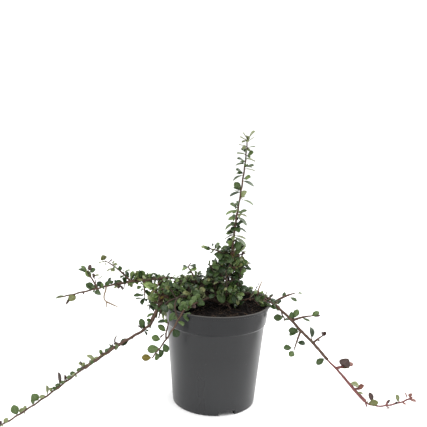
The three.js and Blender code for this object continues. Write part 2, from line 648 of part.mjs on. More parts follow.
// A mass: its stem, its twigs and their leaves joined into one solid
function massGeometry(mass, twigs, random) {
  const stem = curves[mass.name];
  const steps = Math.max(3, Math.round(stem.getLength() / STEM_STEP));
  let solid = toSolid(limbGeometry(stem, taper(mass.radii), STEM_SIDES, steps));
  const matrices = growLeaves(mass, stem, random, 0);
  twigs.forEach((twig, i) => {
    solid = solid.add(toSolid(limbGeometry(twig.curve, taper(twig.radii), TWIG_SIDES, TWIG_STEPS)));
    if (!twig.bare) {
      matrices.push(...growLeaves(mass, twig.curve, random, i * HALF_TURN));
    }
  });
  for (const matrix of matrices) {
    solid = solid.add(toSolid(LEAF_TEMPLATE.clone().applyMatrix4(matrix)));
  }
  return toGeometry(largestBody(solid.asOriginal().simplify(SHORTEST_EDGE)));
}

const MATERIALS = {
  pot: new THREE.MeshStandardMaterial({ color: POT_COLOUR, roughness: 0.42, metalness: 0 }),
  soil: new THREE.MeshStandardMaterial({ color: SOIL_COLOUR, roughness: 0.95, metalness: 0 }),
  crown: new THREE.MeshStandardMaterial({ color: CROWN_COLOUR, roughness: 0.85, metalness: 0 }),
  limb: new THREE.MeshStandardMaterial({ color: LIMB_COLOUR, roughness: 0.7, metalness: 0 }),
  leaf: new THREE.MeshStandardMaterial({ color: LEAF_COLOUR, roughness: 0.5, metalness: 0 }),
};

const plant = new THREE.Group();

function addPart(name, geometry, material) {
  const mesh = new THREE.Mesh(geometry, material.clone());
  mesh.name = name;
  plant.add(mesh);
}

addPart("pot", potGeometry(), MATERIALS.pot);
addPart("potting_soil", soilGeometry(), MATERIALS.soil);
const crownGeometry = limbGeometry(crownCurve(), crownRadius, CROWN_SIDES, CROWN_STEPS);
addPart("crown_stem", crownGeometry, MATERIALS.crown);
for (const limb of LIMBS) {
  const curve = curves[limb.name];
  const steps = Math.round(curve.getLength() / LIMB_STEP);
  addPart(limb.name, limbGeometry(curve, taper(limb.radii), LIMB_SIDES, steps), MATERIALS.limb);
}
const grown = MASSES.map((mass) => {
  const random = seededRandom(mass.seed);
  return { mass, random, twigs: growTwigs(mass, random) };
});
for (const { mass, random, twigs } of grown) {
  addPart(mass.name, massGeometry(mass, twigs, random), MATERIALS.leaf);
}

export default plant;
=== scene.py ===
"""Creeping cotoneaster in a nursery pot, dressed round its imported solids.

Tables are in millimetres and meshes in metres, in the solids' own frame: +Z is up, the origin is
the middle of the pot's underside, and -Y is the front.
"""
import logging
import math
from dataclasses import dataclass, field, fields, replace
from enum import Enum, IntEnum
from typing import Any, Callable, Sequence

import bmesh
import bpy
import numpy as np
from mathutils import Matrix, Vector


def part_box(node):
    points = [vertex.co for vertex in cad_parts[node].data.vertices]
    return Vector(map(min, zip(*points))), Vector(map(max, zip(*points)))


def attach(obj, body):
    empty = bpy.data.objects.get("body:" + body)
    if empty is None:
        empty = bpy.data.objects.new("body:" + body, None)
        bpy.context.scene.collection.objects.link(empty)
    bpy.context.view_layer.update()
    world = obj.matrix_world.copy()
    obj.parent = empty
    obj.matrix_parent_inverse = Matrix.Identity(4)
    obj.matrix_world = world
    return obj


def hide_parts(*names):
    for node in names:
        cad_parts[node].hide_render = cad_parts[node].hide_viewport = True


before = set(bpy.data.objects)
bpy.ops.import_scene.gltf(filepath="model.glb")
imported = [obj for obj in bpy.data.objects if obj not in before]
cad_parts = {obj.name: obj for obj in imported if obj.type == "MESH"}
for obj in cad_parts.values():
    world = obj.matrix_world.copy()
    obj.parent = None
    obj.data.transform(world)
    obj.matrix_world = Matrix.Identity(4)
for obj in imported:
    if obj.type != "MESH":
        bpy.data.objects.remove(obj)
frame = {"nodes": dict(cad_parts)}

log = logging.getLogger("cotoneaster")

MM = 0.001
UP = np.array([0.0, 0.0, 1.0])
BODY = "root"

# Clearances of the source's growing rule, in millimetres
SEAT_GAP = 0.3
CROWN_GAP = 0.4
FREE_GAP = 0.7
TWIG_GAP = 2.6
GROUND_GAP = 0.8
SEAT_RUN = 3.5
SKELETON_STEP = 3.0
SPIRAL_TURN = 137.5
HALF_TURN = 180.0
SPROUT_FIRST_TURN = 90.0
SPROUT_LIFT = 0.15
SPROUT_PLACE_JITTER = 0.04
SPROUT_LENGTH_JITTER = 0.3
TURN_JITTER = 50.0
TILT_JITTER = 26.0
TWIG_ROOT_SHARE = 0.75
TWIG_TIP_SHARE = 0.55
TWIG_ARCH = 0.12
TWIG_POINTS = 9

# The way that the photograph looks, and how far a shift up in its plane leans back
AHEAD = np.array([0.0, 0.989, -0.150])
BACK_SLOPE = 0.152
STALK = 0.9
STALK_INTO_BLADE = 0.5
STALK_RADIUS = 0.32
SHOOT_RADIUS = 0.6
SHOOT_STOUT = 1.9
SHOOT_TIP_SHARE = 0.7
SHOOT_STEP = 1.5
SHOOT_POINTS = 3

# How many points of a line are tried for a place of the photograph: for a bare twig's root, for a
# leaf's, and, after the share of the line that is tried, for a leaf of the crown
SHOOT_PLACES = 600
LEAF_PLACES = 400
WHOLE_PERCH = (1.0, 120)
UPRIGHT_PERCH = (0.5, 200)

Colour = tuple[float, float, float]
Triple = tuple[float, float, float]
Socket = bpy.types.NodeSocket


# ---- numbers and lines ----


def unit(vectors: np.ndarray) -> np.ndarray:
    """Vectors of length one along the last axis.

    Args:
        vectors: rows of three numbers.

    Returns:
        The rows, each divided by its length.
    """
    return vectors / np.maximum(np.linalg.norm(vectors, axis=-1, keepdims=True), 1e-12)


def mix(ends: Sequence[float], share: np.ndarray | float) -> np.ndarray | float:
    """The value at a share of the way between two ends."""
    return ends[0] + (ends[1] - ends[0]) * share


class Dice:
    """The source's seeded numbers: a 32-bit counter whose bits are mixed by products and shifts."""

    MASK = 0xFFFFFFFF

    def __init__(self, seed: int) -> None:
        """Starts the counter at a seed."""
        self.state = seed & self.MASK

    def roll(self) -> float:
        """The next number from 0 to 1."""
        self.state = (self.state + 0x6D2B79F5) & self.MASK
        mixed = ((self.state ^ (self.state >> 15)) * (1 | self.state)) & self.MASK
        mixed = ((mixed + (mixed ^ (mixed >> 7)) * (61 | mixed)) & self.MASK) ^ mixed
        return (mixed ^ (mixed >> 14)) / 4294967296

    def centred(self, spread: float) -> float:
        """The next number, spread evenly about zero."""
        return (self.roll() - 0.5) * spread


class Route:
    """A smooth line through points, measured along its length.

    Each span is a cubic p1 + m1 t + (3(p2 - p1) - 2 m1 - m2) t^2 + (2(p1 - p2) + m1 + m2) t^3.
    Its end slopes m1 and m2 come from the points on both sides, weighted by the square roots of
    the distances between them.
    """

    FINE = 50

    def __init__(self, points: Sequence[Sequence[float]]) -> None:
        """Works out the line.

        Args:
            points: the points that it passes through, in millimetres.
        """
        given = np.asarray(points, float)
        ends = np.vstack([2 * given[0] - given[1], given, 2 * given[-1] - given[-2]])
        p0, p1, p2, p3 = ends[:-3], ends[1:-2], ends[2:-1], ends[3:]
        d0, d1, d2 = (np.sqrt(np.linalg.norm(b - a, axis=1))[:, None]
                      for a, b in ((p0, p1), (p1, p2), (p2, p3)))
        m1 = ((p1 - p0) / d0 - (p2 - p0) / (d0 + d1) + (p2 - p1) / d1) * d1
        m2 = ((p2 - p1) / d1 - (p3 - p1) / (d1 + d2) + (p3 - p2) / d2) * d1
        t = np.linspace(0, 1, self.FINE, endpoint=False)[:, None, None]
        square, cube = 3 * (p2 - p1) - 2 * m1 - m2, 2 * (p1 - p2) + m1 + m2
        spans = p1 + m1 * t + square * t**2 + cube * t**3
        self.fine = np.vstack([spans.transpose(1, 0, 2).reshape(-1, 3), given[-1]])
        steps = np.linalg.norm(np.diff(self.fine, axis=0), axis=1)
        self.run = np.concatenate([[0.0], np.cumsum(steps)])
        self.length = float(self.run[-1])

    def at(self, share: np.ndarray | float) -> np.ndarray:
        """The points at shares of the length, as rows."""
        places = np.atleast_1d(share) * self.length
        return np.stack([np.interp(places, self.run, self.fine[:, k]) for k in range(3)], axis=-1)

    def heading(self, share: np.ndarray | float) -> np.ndarray:
        """The directions of travel at shares of the length, as rows."""
        places = np.atleast_1d(share)
        reach = 0.5 / self.length
        return unit(self.at(np.minimum(places + reach, 1)) - self.at(np.maximum(places - reach, 0)))

    def spaced(self, step: float, fewest: int = 2) -> np.ndarray:
        """Points an even run apart, at most a step long."""
        return self.at(np.linspace(0, 1, max(fewest, math.ceil(self.length / step)) + 1))


def arched(start: np.ndarray, reach: np.ndarray, count: int) -> np.ndarray:
    """A twig's line: a parabola from start to start + reach whose middle stands up a little.

    Args:
        start: its root.
        reach: from the root to the tip.
        count: how many points.

    Returns:
        The points, one row each.
    """
    t = np.linspace(0, 1, count)[:, None]
    middle = start + reach / 2 + UP * TWIG_ARCH * np.linalg.norm(reach)
    return start * (1 - t) ** 2 + 2 * middle * t * (1 - t) + (start + reach) * t**2


# ---- meshes ----


@dataclass
class Patch:
    """A mesh in the making: corners in millimetres with UV, and faces with a finish each."""

    points: np.ndarray
    quads: np.ndarray
    tris: np.ndarray
    uv: np.ndarray
    quad_finish: np.ndarray | None = None
    tri_finish: np.ndarray | None = None

    def with_finish(self, number: int) -> "Patch":
        """The same patch, all in one finish."""
        self.quad_finish = np.full(len(self.quads), number)
        self.tri_finish = np.full(len(self.tris), number)
        return self

    @staticmethod
    def joined(patches: Sequence["Patch"]) -> "Patch":
        """Several patches as one.

        Args:
            patches: the patches, each with its finishes set.

        Returns:
            One patch that holds all their faces.
        """
        starts = np.cumsum([0] + [len(p.points) for p in patches[:-1]])
        return Patch(
            np.vstack([p.points for p in patches]),
            np.vstack([p.quads + s for p, s in zip(patches, starts)]),
            np.vstack([p.tris + s for p, s in zip(patches, starts)]),
            np.vstack([p.uv for p in patches]),
            np.concatenate([p.quad_finish for p in patches]),
            np.concatenate([p.tri_finish for p in patches]),
        )

    def piece(self, name: str, slot: str, materials: Sequence[bpy.types.Material],
              nodes: Sequence[str] = ()) -> bpy.types.Object:
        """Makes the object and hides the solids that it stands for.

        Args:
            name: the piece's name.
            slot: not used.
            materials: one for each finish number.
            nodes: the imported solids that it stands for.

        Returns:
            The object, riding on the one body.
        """
        mesh = bpy.data.meshes.new(name)
        corners = np.concatenate([self.quads.ravel(), self.tris.ravel()]).astype(np.int32)
        sizes = np.concatenate([np.full(len(self.quads), 4), np.full(len(self.tris), 3)])
        mesh.vertices.add(len(self.points))
        mesh.vertices.foreach_set("co", (self.points * MM).astype(np.float32).ravel())
        mesh.loops.add(len(corners))
        mesh.loops.foreach_set("vertex_index", corners)
        mesh.polygons.add(len(sizes))
        starts = np.concatenate([[0], np.cumsum(sizes)[:-1]]).astype(np.int32)
        mesh.polygons.foreach_set("loop_start", starts)
        mesh.update(calc_edges=True)
        for material in materials:
            mesh.materials.append(material)
        finishes = np.concatenate([self.quad_finish, self.tri_finish]).astype(np.int32)
        mesh.polygons.foreach_set("material_index", finishes)
        mesh.polygons.foreach_set("use_smooth", np.ones(len(sizes), bool))
        layer = mesh.uv_layers.new(name="UVMap")
        layer.data.foreach_set("uv", self.uv[corners].astype(np.float32).ravel())
        mesh.validate()
        made = bpy.data.objects.new(name, mesh)
        bpy.context.scene.collection.objects.link(made)
        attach(made, BODY)
        if nodes:
            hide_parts(*nodes)
        log.info("%s: %d corners, %d faces", name, len(self.points), len(sizes))
        return made


def grid_quads(rows: int, columns: int, closed: bool) -> np.ndarray:
    """Quads of a grid numbered row by row, joined round its columns where closed."""
    row = np.arange(rows - 1)[:, None]
    column = np.arange(columns if closed else columns - 1)[None, :]
    onward = (column + 1) % columns
    a, b = row * columns + column, row * columns + onward
    return np.stack([a, b, b + columns, a + columns], axis=-1).reshape(-1, 4)


def turned(profile: np.ndarray, angles: np.ndarray) -> Patch:
    """A profile turned about Z: corner (i, j) is (r_i cos a_j, r_i sin a_j, z_i).

    Args:
        profile: rows of radius and height that start and end on the axis and keep the solid on
            their left as they rise.
        angles: the turn of each column, in radians, once round.

    Returns:
        A closed patch whose first and last rows are single points.
    """
    radius, height = profile[1:-1, 0], profile[1:-1, 1]
    rows, columns = len(radius), len(angles)
    ring = np.stack([
        radius[:, None] * np.cos(angles), radius[:, None] * np.sin(angles),
        np.repeat(height[:, None], columns, axis=1),
    ], axis=-1).reshape(-1, 3)
    poles = np.array([[0, 0, profile[0, 1]], [0, 0, profile[-1, 1]]])
    first, last = rows * columns, rows * columns + 1
    j = np.arange(columns)
    k = (j + 1) % columns
    top = (rows - 1) * columns
    tris = np.concatenate([
        np.stack([np.full(columns, first), k, j], axis=-1),
        np.stack([np.full(columns, last), top + j, top + k], axis=-1),
    ])
    along = np.concatenate([[0.0], np.cumsum(np.linalg.norm(np.diff(profile, axis=0), axis=1))])
    turn = np.stack([
        np.tile(angles, rows) / math.tau, np.repeat(along[1:-1], columns) * MM,
    ], axis=-1)
    uv = np.vstack([turn, [[0.5, 0.0], [0.5, along[-1] * MM]]])
    return Patch(np.vstack([ring, poles]), grid_quads(rows, columns, True), tris, uv)


# A limb counts as upright where its level reach is below this share of its length. Its ends are
# drawn in to points these shares of its radius beyond its first and last rings.
UPRIGHT_SHARE = 0.35
ROOT_POINT = 0.4
TIP_POINT = 0.6


def tubes(lines: np.ndarray, radii: np.ndarray, sides: int,
          relief: Callable[[np.ndarray, np.ndarray], np.ndarray] | None = None) -> Patch:
    """Round limbs along many lines at once: corner (t, i, j) is p + r (a cos w_j + b sin w_j).

    p is line t's point i, r its radius there, and a and b are the two directions square to the
    line: a is the side of the plane that the line bends in, and b is square to both.

    Args:
        lines: (limbs, rings, 3) points.
        radii: (limbs, rings) radii.
        sides: corners to a ring.
        relief: from the run along each limb and the turn, both (limbs, rings, sides), to what is
            added to the radius.

    Returns:
        Closed limbs, each end drawn in to a point.
    """
    count, rings, _ = lines.shape
    heading = unit(np.gradient(lines, axis=1))
    reach = lines[:, -1] - lines[:, 0]
    across = np.cross(reach, UP)
    upright = np.linalg.norm(across, axis=1) < UPRIGHT_SHARE * np.linalg.norm(reach, axis=1)
    across = unit(np.where(upright[:, None], np.array([1.0, 0.0, 0.0]), across))[:, None, :]
    a = unit(across - (across * heading).sum(-1, keepdims=True) * heading)
    b = np.cross(heading, a)
    turn = np.arange(sides) * math.tau / sides
    steps = np.linalg.norm(np.diff(lines, axis=1), axis=2)
    run = np.concatenate([np.zeros((count, 1)), np.cumsum(steps, axis=1)], axis=1)
    runs = np.repeat(run[:, :, None], sides, axis=2)
    thick = np.repeat(radii[:, :, None], sides, axis=2)
    if relief is not None:
        thick = thick + relief(runs, np.broadcast_to(turn, thick.shape))
    cosine, sine = np.cos(turn)[:, None], np.sin(turn)[:, None]
    round_about = a[:, :, None, :] * cosine + b[:, :, None, :] * sine
    skin = lines[:, :, None, :] + round_about * thick[..., None]
    poles = np.stack([
        lines[:, 0] - heading[:, 0] * radii[:, :1] * ROOT_POINT,
        lines[:, -1] + heading[:, -1] * radii[:, -1:] * TIP_POINT,
    ], axis=1)
    points = np.concatenate([skin.reshape(count, -1, 3), poles], axis=1)
    size = rings * sides + 2
    starts = (np.arange(count) * size)[:, None, None]
    quads = (grid_quads(rings, sides, True)[None] + starts).reshape(-1, 4)
    j = np.arange(sides)
    k = (j + 1) % sides
    end = (rings - 1) * sides
    fan = np.concatenate([
        np.stack([np.full(sides, size - 2), k, j], axis=-1),
        np.stack([np.full(sides, size - 1), end + j, end + k], axis=-1),
    ])
    tris = (fan[None] + starts).reshape(-1, 3)
    flat = np.stack([
        np.broadcast_to(turn / math.tau, (count, rings, sides)), runs * MM,
    ], axis=-1).reshape(count, -1, 2)
    far = np.stack([run[:, 0], run[:, -1]], axis=1) * MM
    ends = np.stack([np.full((count, 2), 0.5), far], axis=-1)
    uv = np.concatenate([flat, ends], axis=1)
    return Patch(points.reshape(-1, 3), quads, tris, uv.reshape(-1, 2))


# ---- finishes ----


class Nodes:
    """A material's node tree, built a node at a time round one Principled shader."""

    def __init__(self, name: str, base: Colour, roughness: float, specular: float = 0.5) -> None:
        """Starts the material with its plain values."""
        self.material = bpy.data.materials.new(name)
        self.material.use_nodes = True
        self.tree = self.material.node_tree
        self.shader = self.tree.nodes["Principled BSDF"]
        self.shader.inputs["Base Color"].default_value = (*base, 1)
        self.shader.inputs["Roughness"].default_value = roughness
        self.shader.inputs["Specular IOR Level"].default_value = specular
        self.material.diffuse_color = (*base, 1)

    def add(self, kind: str, settings: dict | None = None, **inputs) -> bpy.types.Node:
        """Adds a node.

        Args:
            kind: Blender's name for the node type.
            settings: its own properties.
            **inputs: values or output sockets for its inputs, with _ for a space in their names,
                or by number as i0, i1 and so on.

        Returns:
            The node.
        """
        node = self.tree.nodes.new(kind)
        for key, value in (settings or {}).items():
            setattr(node, key, value)
        for key, value in inputs.items():
            by_number = key[0] == "i" and key[1:].isdigit()
            socket = node.inputs[int(key[1:]) if by_number else key.replace("_", " ")]
            if isinstance(value, Socket):
                self.tree.links.new(value, socket)
            else:
                socket.default_value = value
        return node

    def place(self, kind: str = "Object", stretch: Triple = (1, 1, 1)) -> Socket:
        """Coordinates of a kind, Object or UV, stretched."""
        source = self.add("ShaderNodeTexCoord").outputs[kind]
        return self.add("ShaderNodeMapping", Vector=source, Scale=stretch).outputs["Vector"]

    def noise(self, where: Socket, scale: float, detail: float = 3.0,
              rough: float = 0.55) -> Socket:
        """A noise value from 0 to 1."""
        node = self.add("ShaderNodeTexNoise", Vector=where, Scale=scale, Detail=detail,
                        Roughness=rough)
        return node.outputs["Fac"]

    def ramp(self, value: Socket, low: float, high: float,
             to: tuple[float, float] = (0.0, 1.0)) -> Socket:
        """A value carried from low..high onto another range, and held at its ends."""
        node = self.add("ShaderNodeMapRange", i0=value, i1=low, i2=high, i3=to[0], i4=to[1])
        return node.outputs[0]

    def shades(self, share: Socket, base: Colour, low: float, high: float) -> Socket:
        """A colour between a base times low and the same times high, by a share."""
        return self.blend(share, tuple(v * low for v in base), tuple(v * high for v in base))

    def blend(self, share: Socket, first: Colour | Socket, second: Colour | Socket) -> Socket:
        """A colour between two, by a share."""
        node = self.add("ShaderNodeMix", {"data_type": "RGBA"}, i0=share)
        for socket, value in ((node.inputs[6], first), (node.inputs[7], second)):
            if isinstance(value, Socket):
                self.tree.links.new(value, socket)
            else:
                socket.default_value = (*value, 1)
        return node.outputs[2]

    def sum(self, first: Socket, second: Socket | float, operation: str = "ADD") -> Socket:
        """Two values put together by an operation."""
        return self.add("ShaderNodeMath", {"operation": operation}, i0=first, i1=second).outputs[0]

    def colour(self, value: Socket) -> None:
        """Sets the base colour."""
        self.tree.links.new(value, self.shader.inputs["Base Color"])

    def rough(self, value: Socket) -> None:
        """Sets the roughness."""
        self.tree.links.new(value, self.shader.inputs["Roughness"])

    def bump(self, height: Socket, strength: float, depth: float) -> None:
        """Sets the relief, depth in metres."""
        node = self.add("ShaderNodeBump", Strength=strength, Distance=depth, Height=height)
        self.tree.links.new(node.outputs["Normal"], self.shader.inputs["Normal"])


@dataclass(frozen=True)
class MouldedPlastic:
    """Satin dark grey moulded plastic with flow marks, light scuffs and dust, painted paler low
    down as light from the floor.
    """

    name: str = "pot_plastic"
    base: Colour = (0.0070, 0.0074, 0.0085)
    worn: Colour = (0.080, 0.082, 0.086)
    roughness: float = 0.3
    shine: float = 0.36
    # Share of the paler colour painted on the foot as light from the floor, fading out by 70 mm up
    foot_dust: float = 0.16

    def material(self) -> bpy.types.Material:
        """The pot's material."""
        n = Nodes(self.name, self.base, self.roughness, self.shine)
        where = n.place()
        height = n.add("ShaderNodeSeparateXYZ", Vector=where).outputs["Z"]
        # Painted light: the wall is paler towards the bottom
        painted_floor_light = n.ramp(height, 0.0, 0.07, (self.foot_dust, 0.0))
        flow = n.noise(n.place(stretch=(1, 1, 0.25)), 45, 3)
        cloudy = n.shades(n.ramp(flow, 0.35, 0.7), self.base, 0.9, 1.14)
        scratch = n.noise(n.place(stretch=(1.0, 1.0, 0.22)), 420, 5, 0.7)
        patch = n.ramp(n.noise(where, 28, 2), 0.52, 0.66)
        scuff = n.sum(n.ramp(scratch, 0.66, 0.74), patch, "MULTIPLY")
        speck = n.ramp(n.noise(where, 900, 1), 0.74, 0.8)
        marks = n.sum(n.sum(scuff, 0.55, "MULTIPLY"), n.sum(speck, 0.35, "MULTIPLY"), "MAXIMUM")
        # Scuffs and specks are wear; the share added low down is painted light
        n.colour(n.blend(n.sum(marks, painted_floor_light), cloudy, self.worn))
        sheen = n.ramp(flow, 0.3, 0.75, (self.roughness - 0.04, self.roughness + 0.07))
        n.rough(n.sum(sheen, n.sum(marks, 0.25, "MULTIPLY")))
        grain = n.noise(where, 1500, 2)
        n.bump(n.sum(n.sum(grain, 0.4, "MULTIPLY"), flow), 0.3, 0.00012)
        return n.material


@dataclass(frozen=True)
class Peat:
    """Dark fibrous potting soil and the pieces in it."""

    name: str
    dark: Colour
    light: Colour
    roughness: float = 0.92

    def material(self) -> bpy.types.Material:
        """The soil's material."""
        n = Nodes(self.name, self.dark, self.roughness, 0.12)
        where = n.place()
        fine = n.noise(where, 900, 4, 0.7)
        coarse = n.noise(where, 160, 3)
        share = n.ramp(n.sum(fine, coarse, "MULTIPLY"), 0.18, 0.42)
        n.colour(n.blend(share, self.dark, self.light))
        n.bump(n.sum(fine, coarse), 0.8, 0.0008)
        return n.material


@dataclass(frozen=True)
class Bark:
    """Bark with pale pores and lengthwise streaks, on the limb's own UV."""

    name: str
    base: Colour
    streak: Colour
    pore: Colour
    roughness: float = 0.6
    pores: float = 0.5

    def material(self) -> bpy.types.Material:
        """The bark's material."""
        n = Nodes(self.name, self.base, self.roughness, 0.35)
        along = n.noise(n.place("UV", (9, 60, 1)), 1.0, 4, 0.65)
        where = n.place()
        cloud = n.noise(where, 130, 3)
        tone = n.blend(n.ramp(n.sum(along, cloud, "MULTIPLY"), 0.16, 0.4), self.base, self.streak)
        spots = n.ramp(n.noise(n.place(stretch=(1, 1, 1.4)), 750, 2), 0.66, 0.74)
        n.colour(n.blend(n.sum(spots, self.pores, "MULTIPLY"), tone, self.pore))
        n.bump(n.sum(along, n.sum(spots, 0.5, "MULTIPLY")), 0.5, 0.0003)
        return n.material


@dataclass(frozen=True)
class Leaf:
    """A leathery leaf: a glossy blade and a dull paler underside, each in a plain colour."""

    name: str
    blade: Colour
    under: Colour
    roughness: float = 0.29

    def blade_material(self) -> bpy.types.Material:
        """The upper side, with a paler midrib, a painted highlight along the rim and sunken side
        veins, on the leaf's UV.
        """
        n = Nodes("blade_" + self.name, self.blade, self.roughness, 0.24)
        tint = n.noise(n.place(), 260, 2)
        tone = n.shades(n.ramp(tint, 0.3, 0.7), self.blade, 0.86, 1.16)
        rib, veins, rim = self.veins(n)
        # The pale colour is the midrib's own and, along the rim, a painted highlight
        pale = tuple(v * 1.7 + 0.025 for v in self.blade)
        n.colour(n.blend(n.sum(n.sum(rib, 0.45, "MULTIPLY"), rim), tone, pale))
        n.bump(n.sum(n.sum(veins, 0.5, "MULTIPLY"), rib, "SUBTRACT"), 0.35, 0.00025)
        return n.material

    def under_material(self) -> bpy.types.Material:
        """The underside, dull and finely downy, with a raised midrib."""
        n = Nodes("under_" + self.name, self.under, 0.72, 0.3)
        down = n.noise(n.place(), 1400, 2)
        n.colour(n.shades(n.ramp(down, 0.3, 0.7), self.under, 0.9, 1.08))
        rib, veins, _ = self.veins(n)
        n.bump(n.sum(n.sum(veins, 0.5, "MULTIPLY"), rib), 0.4, 0.0003)
        return n.material

    def veins(self, n: Nodes) -> tuple[Socket, Socket, Socket]:
        """Heights of the midrib and of the side veins, and the rim, from the leaf's UV.

        Args:
            n: the material in the making.

        Returns:
            The midrib, 1 on the leaf's middle line, the veins, a wave along the leaf that sweeps
            forward with the distance from that line, and the rim, 1 on the leaf's outline, where
            the blade paints a highlight.
        """
        split = n.add("ShaderNodeSeparateXYZ", Vector=n.add("ShaderNodeTexCoord").outputs["UV"])
        off = n.sum(n.sum(split.outputs[0], 0.5, "SUBTRACT"), 0.0, "ABSOLUTE")
        rib = n.ramp(off, 0.0, 0.07, (1.0, 0.0))
        sweep = n.sum(split.outputs[1], n.sum(off, 0.9, "MULTIPLY"), "SUBTRACT")
        wave = n.sum(n.sum(sweep, 44.0, "MULTIPLY"), 0.0, "SINE")
        return rib, n.ramp(wave, -1.0, 1.0), n.ramp(off, 0.36, 0.5)


class Tone(Enum):
    """Leaf colours that are dealt out by spray."""

    DEEP = Leaf("deep", (0.011, 0.027, 0.005), (0.12, 0.16, 0.08))
    GREEN = Leaf("green", (0.034, 0.061, 0.016), (0.16, 0.20, 0.10))
    MID = Leaf("mid", (0.064, 0.100, 0.030), (0.20, 0.24, 0.12))
    FRESH = Leaf("fresh", (0.102, 0.150, 0.043), (0.25, 0.29, 0.15))
    PALE = Leaf("pale", (0.155, 0.178, 0.082), (0.22, 0.23, 0.14))
    YELLOW = Leaf("yellow", (0.105, 0.085, 0.010), (0.20, 0.16, 0.06))
    BRONZE = Leaf("bronze", (0.046, 0.026, 0.022), (0.11, 0.075, 0.062))
    RED = Leaf("red", (0.150, 0.060, 0.046), (0.23, 0.13, 0.105))
    LIGHT = Leaf("light", (0.230, 0.310, 0.110), (0.36, 0.40, 0.22))
    OLIVE = Leaf("olive", (0.100, 0.108, 0.036), (0.19, 0.20, 0.105))


TONES = list(Tone)

# Mixes of tones, each with its weight
# DENSE leans to the deep greens: the leaves' own tones, weighted darker as painted shade of the
# crown's inside
DENSE = {Tone.DEEP: 0.38, Tone.GREEN: 0.30, Tone.MID: 0.16, Tone.FRESH: 0.07, Tone.OLIVE: 0.06,
         Tone.PALE: 0.03}
SUNNY = {Tone.DEEP: 0.10, Tone.GREEN: 0.26, Tone.MID: 0.32, Tone.FRESH: 0.19, Tone.PALE: 0.06,
         Tone.OLIVE: 0.07}
GOLDEN = {Tone.DEEP: 0.06, Tone.GREEN: 0.18, Tone.MID: 0.30, Tone.FRESH: 0.26, Tone.OLIVE: 0.12,
          Tone.PALE: 0.08}
AIRY = {Tone.GREEN: 0.22, Tone.MID: 0.40, Tone.FRESH: 0.26, Tone.PALE: 0.08, Tone.BRONZE: 0.04}
ROSY = {Tone.BRONZE: 0.5, Tone.PALE: 0.3, Tone.RED: 0.2}
FLUSHED = {Tone.RED: 0.4, Tone.PALE: 0.3, Tone.BRONZE: 0.2, Tone.FRESH: 0.1}
LETTERS = {tone.name[0]: number for number, tone in enumerate(TONES)}


class Wood(Enum):
    """Barks of stems and twigs."""

    OLD = Bark("bark_old", (0.060, 0.036, 0.025), (0.125, 0.085, 0.062),
               (0.20, 0.15, 0.11), 0.8)
    YOUNG = Bark("bark_young", (0.050, 0.030, 0.021), (0.100, 0.062, 0.043), (0.20, 0.14, 0.10))
    TWIG = Bark("bark_twig", (0.046, 0.022, 0.013), (0.090, 0.048, 0.030),
                (0.16, 0.105, 0.075), 0.55, 0.3)
    DARK = Bark("bark_dark", (0.030, 0.020, 0.014), (0.060, 0.040, 0.028),
                (0.12, 0.09, 0.06), 0.65, 0.3)
    ROSE = Bark("bark_rose", (0.120, 0.035, 0.033), (0.180, 0.062, 0.057),
                (0.26, 0.14, 0.12), 0.5, 0.25)
    SHADE = Bark("bark_shade", (0.017, 0.009, 0.005), (0.048, 0.025, 0.015),
                 (0.09, 0.060, 0.040), 0.65, 0.3)
    DRY = Bark("bark_dry", (0.170, 0.120, 0.080), (0.280, 0.215, 0.150),
               (0.36, 0.29, 0.21), 0.75, 0.2)


WOODS = list(Wood)


class Palette:
    """The plant's materials, each made once."""

    def __init__(self) -> None:
        """Makes them all."""
        self.woods = [wood.value.material() for wood in WOODS]
        leaves = [tone.value for tone in TONES]
        self.leaves = [m for leaf in leaves for m in (leaf.blade_material(), leaf.under_material())]


# ---- pot and soil ----


class PotFinish(IntEnum):
    """Where each of the pot's materials lies."""

    WALL = 0
    RIM_TOP = 1
    COLLAR = 2


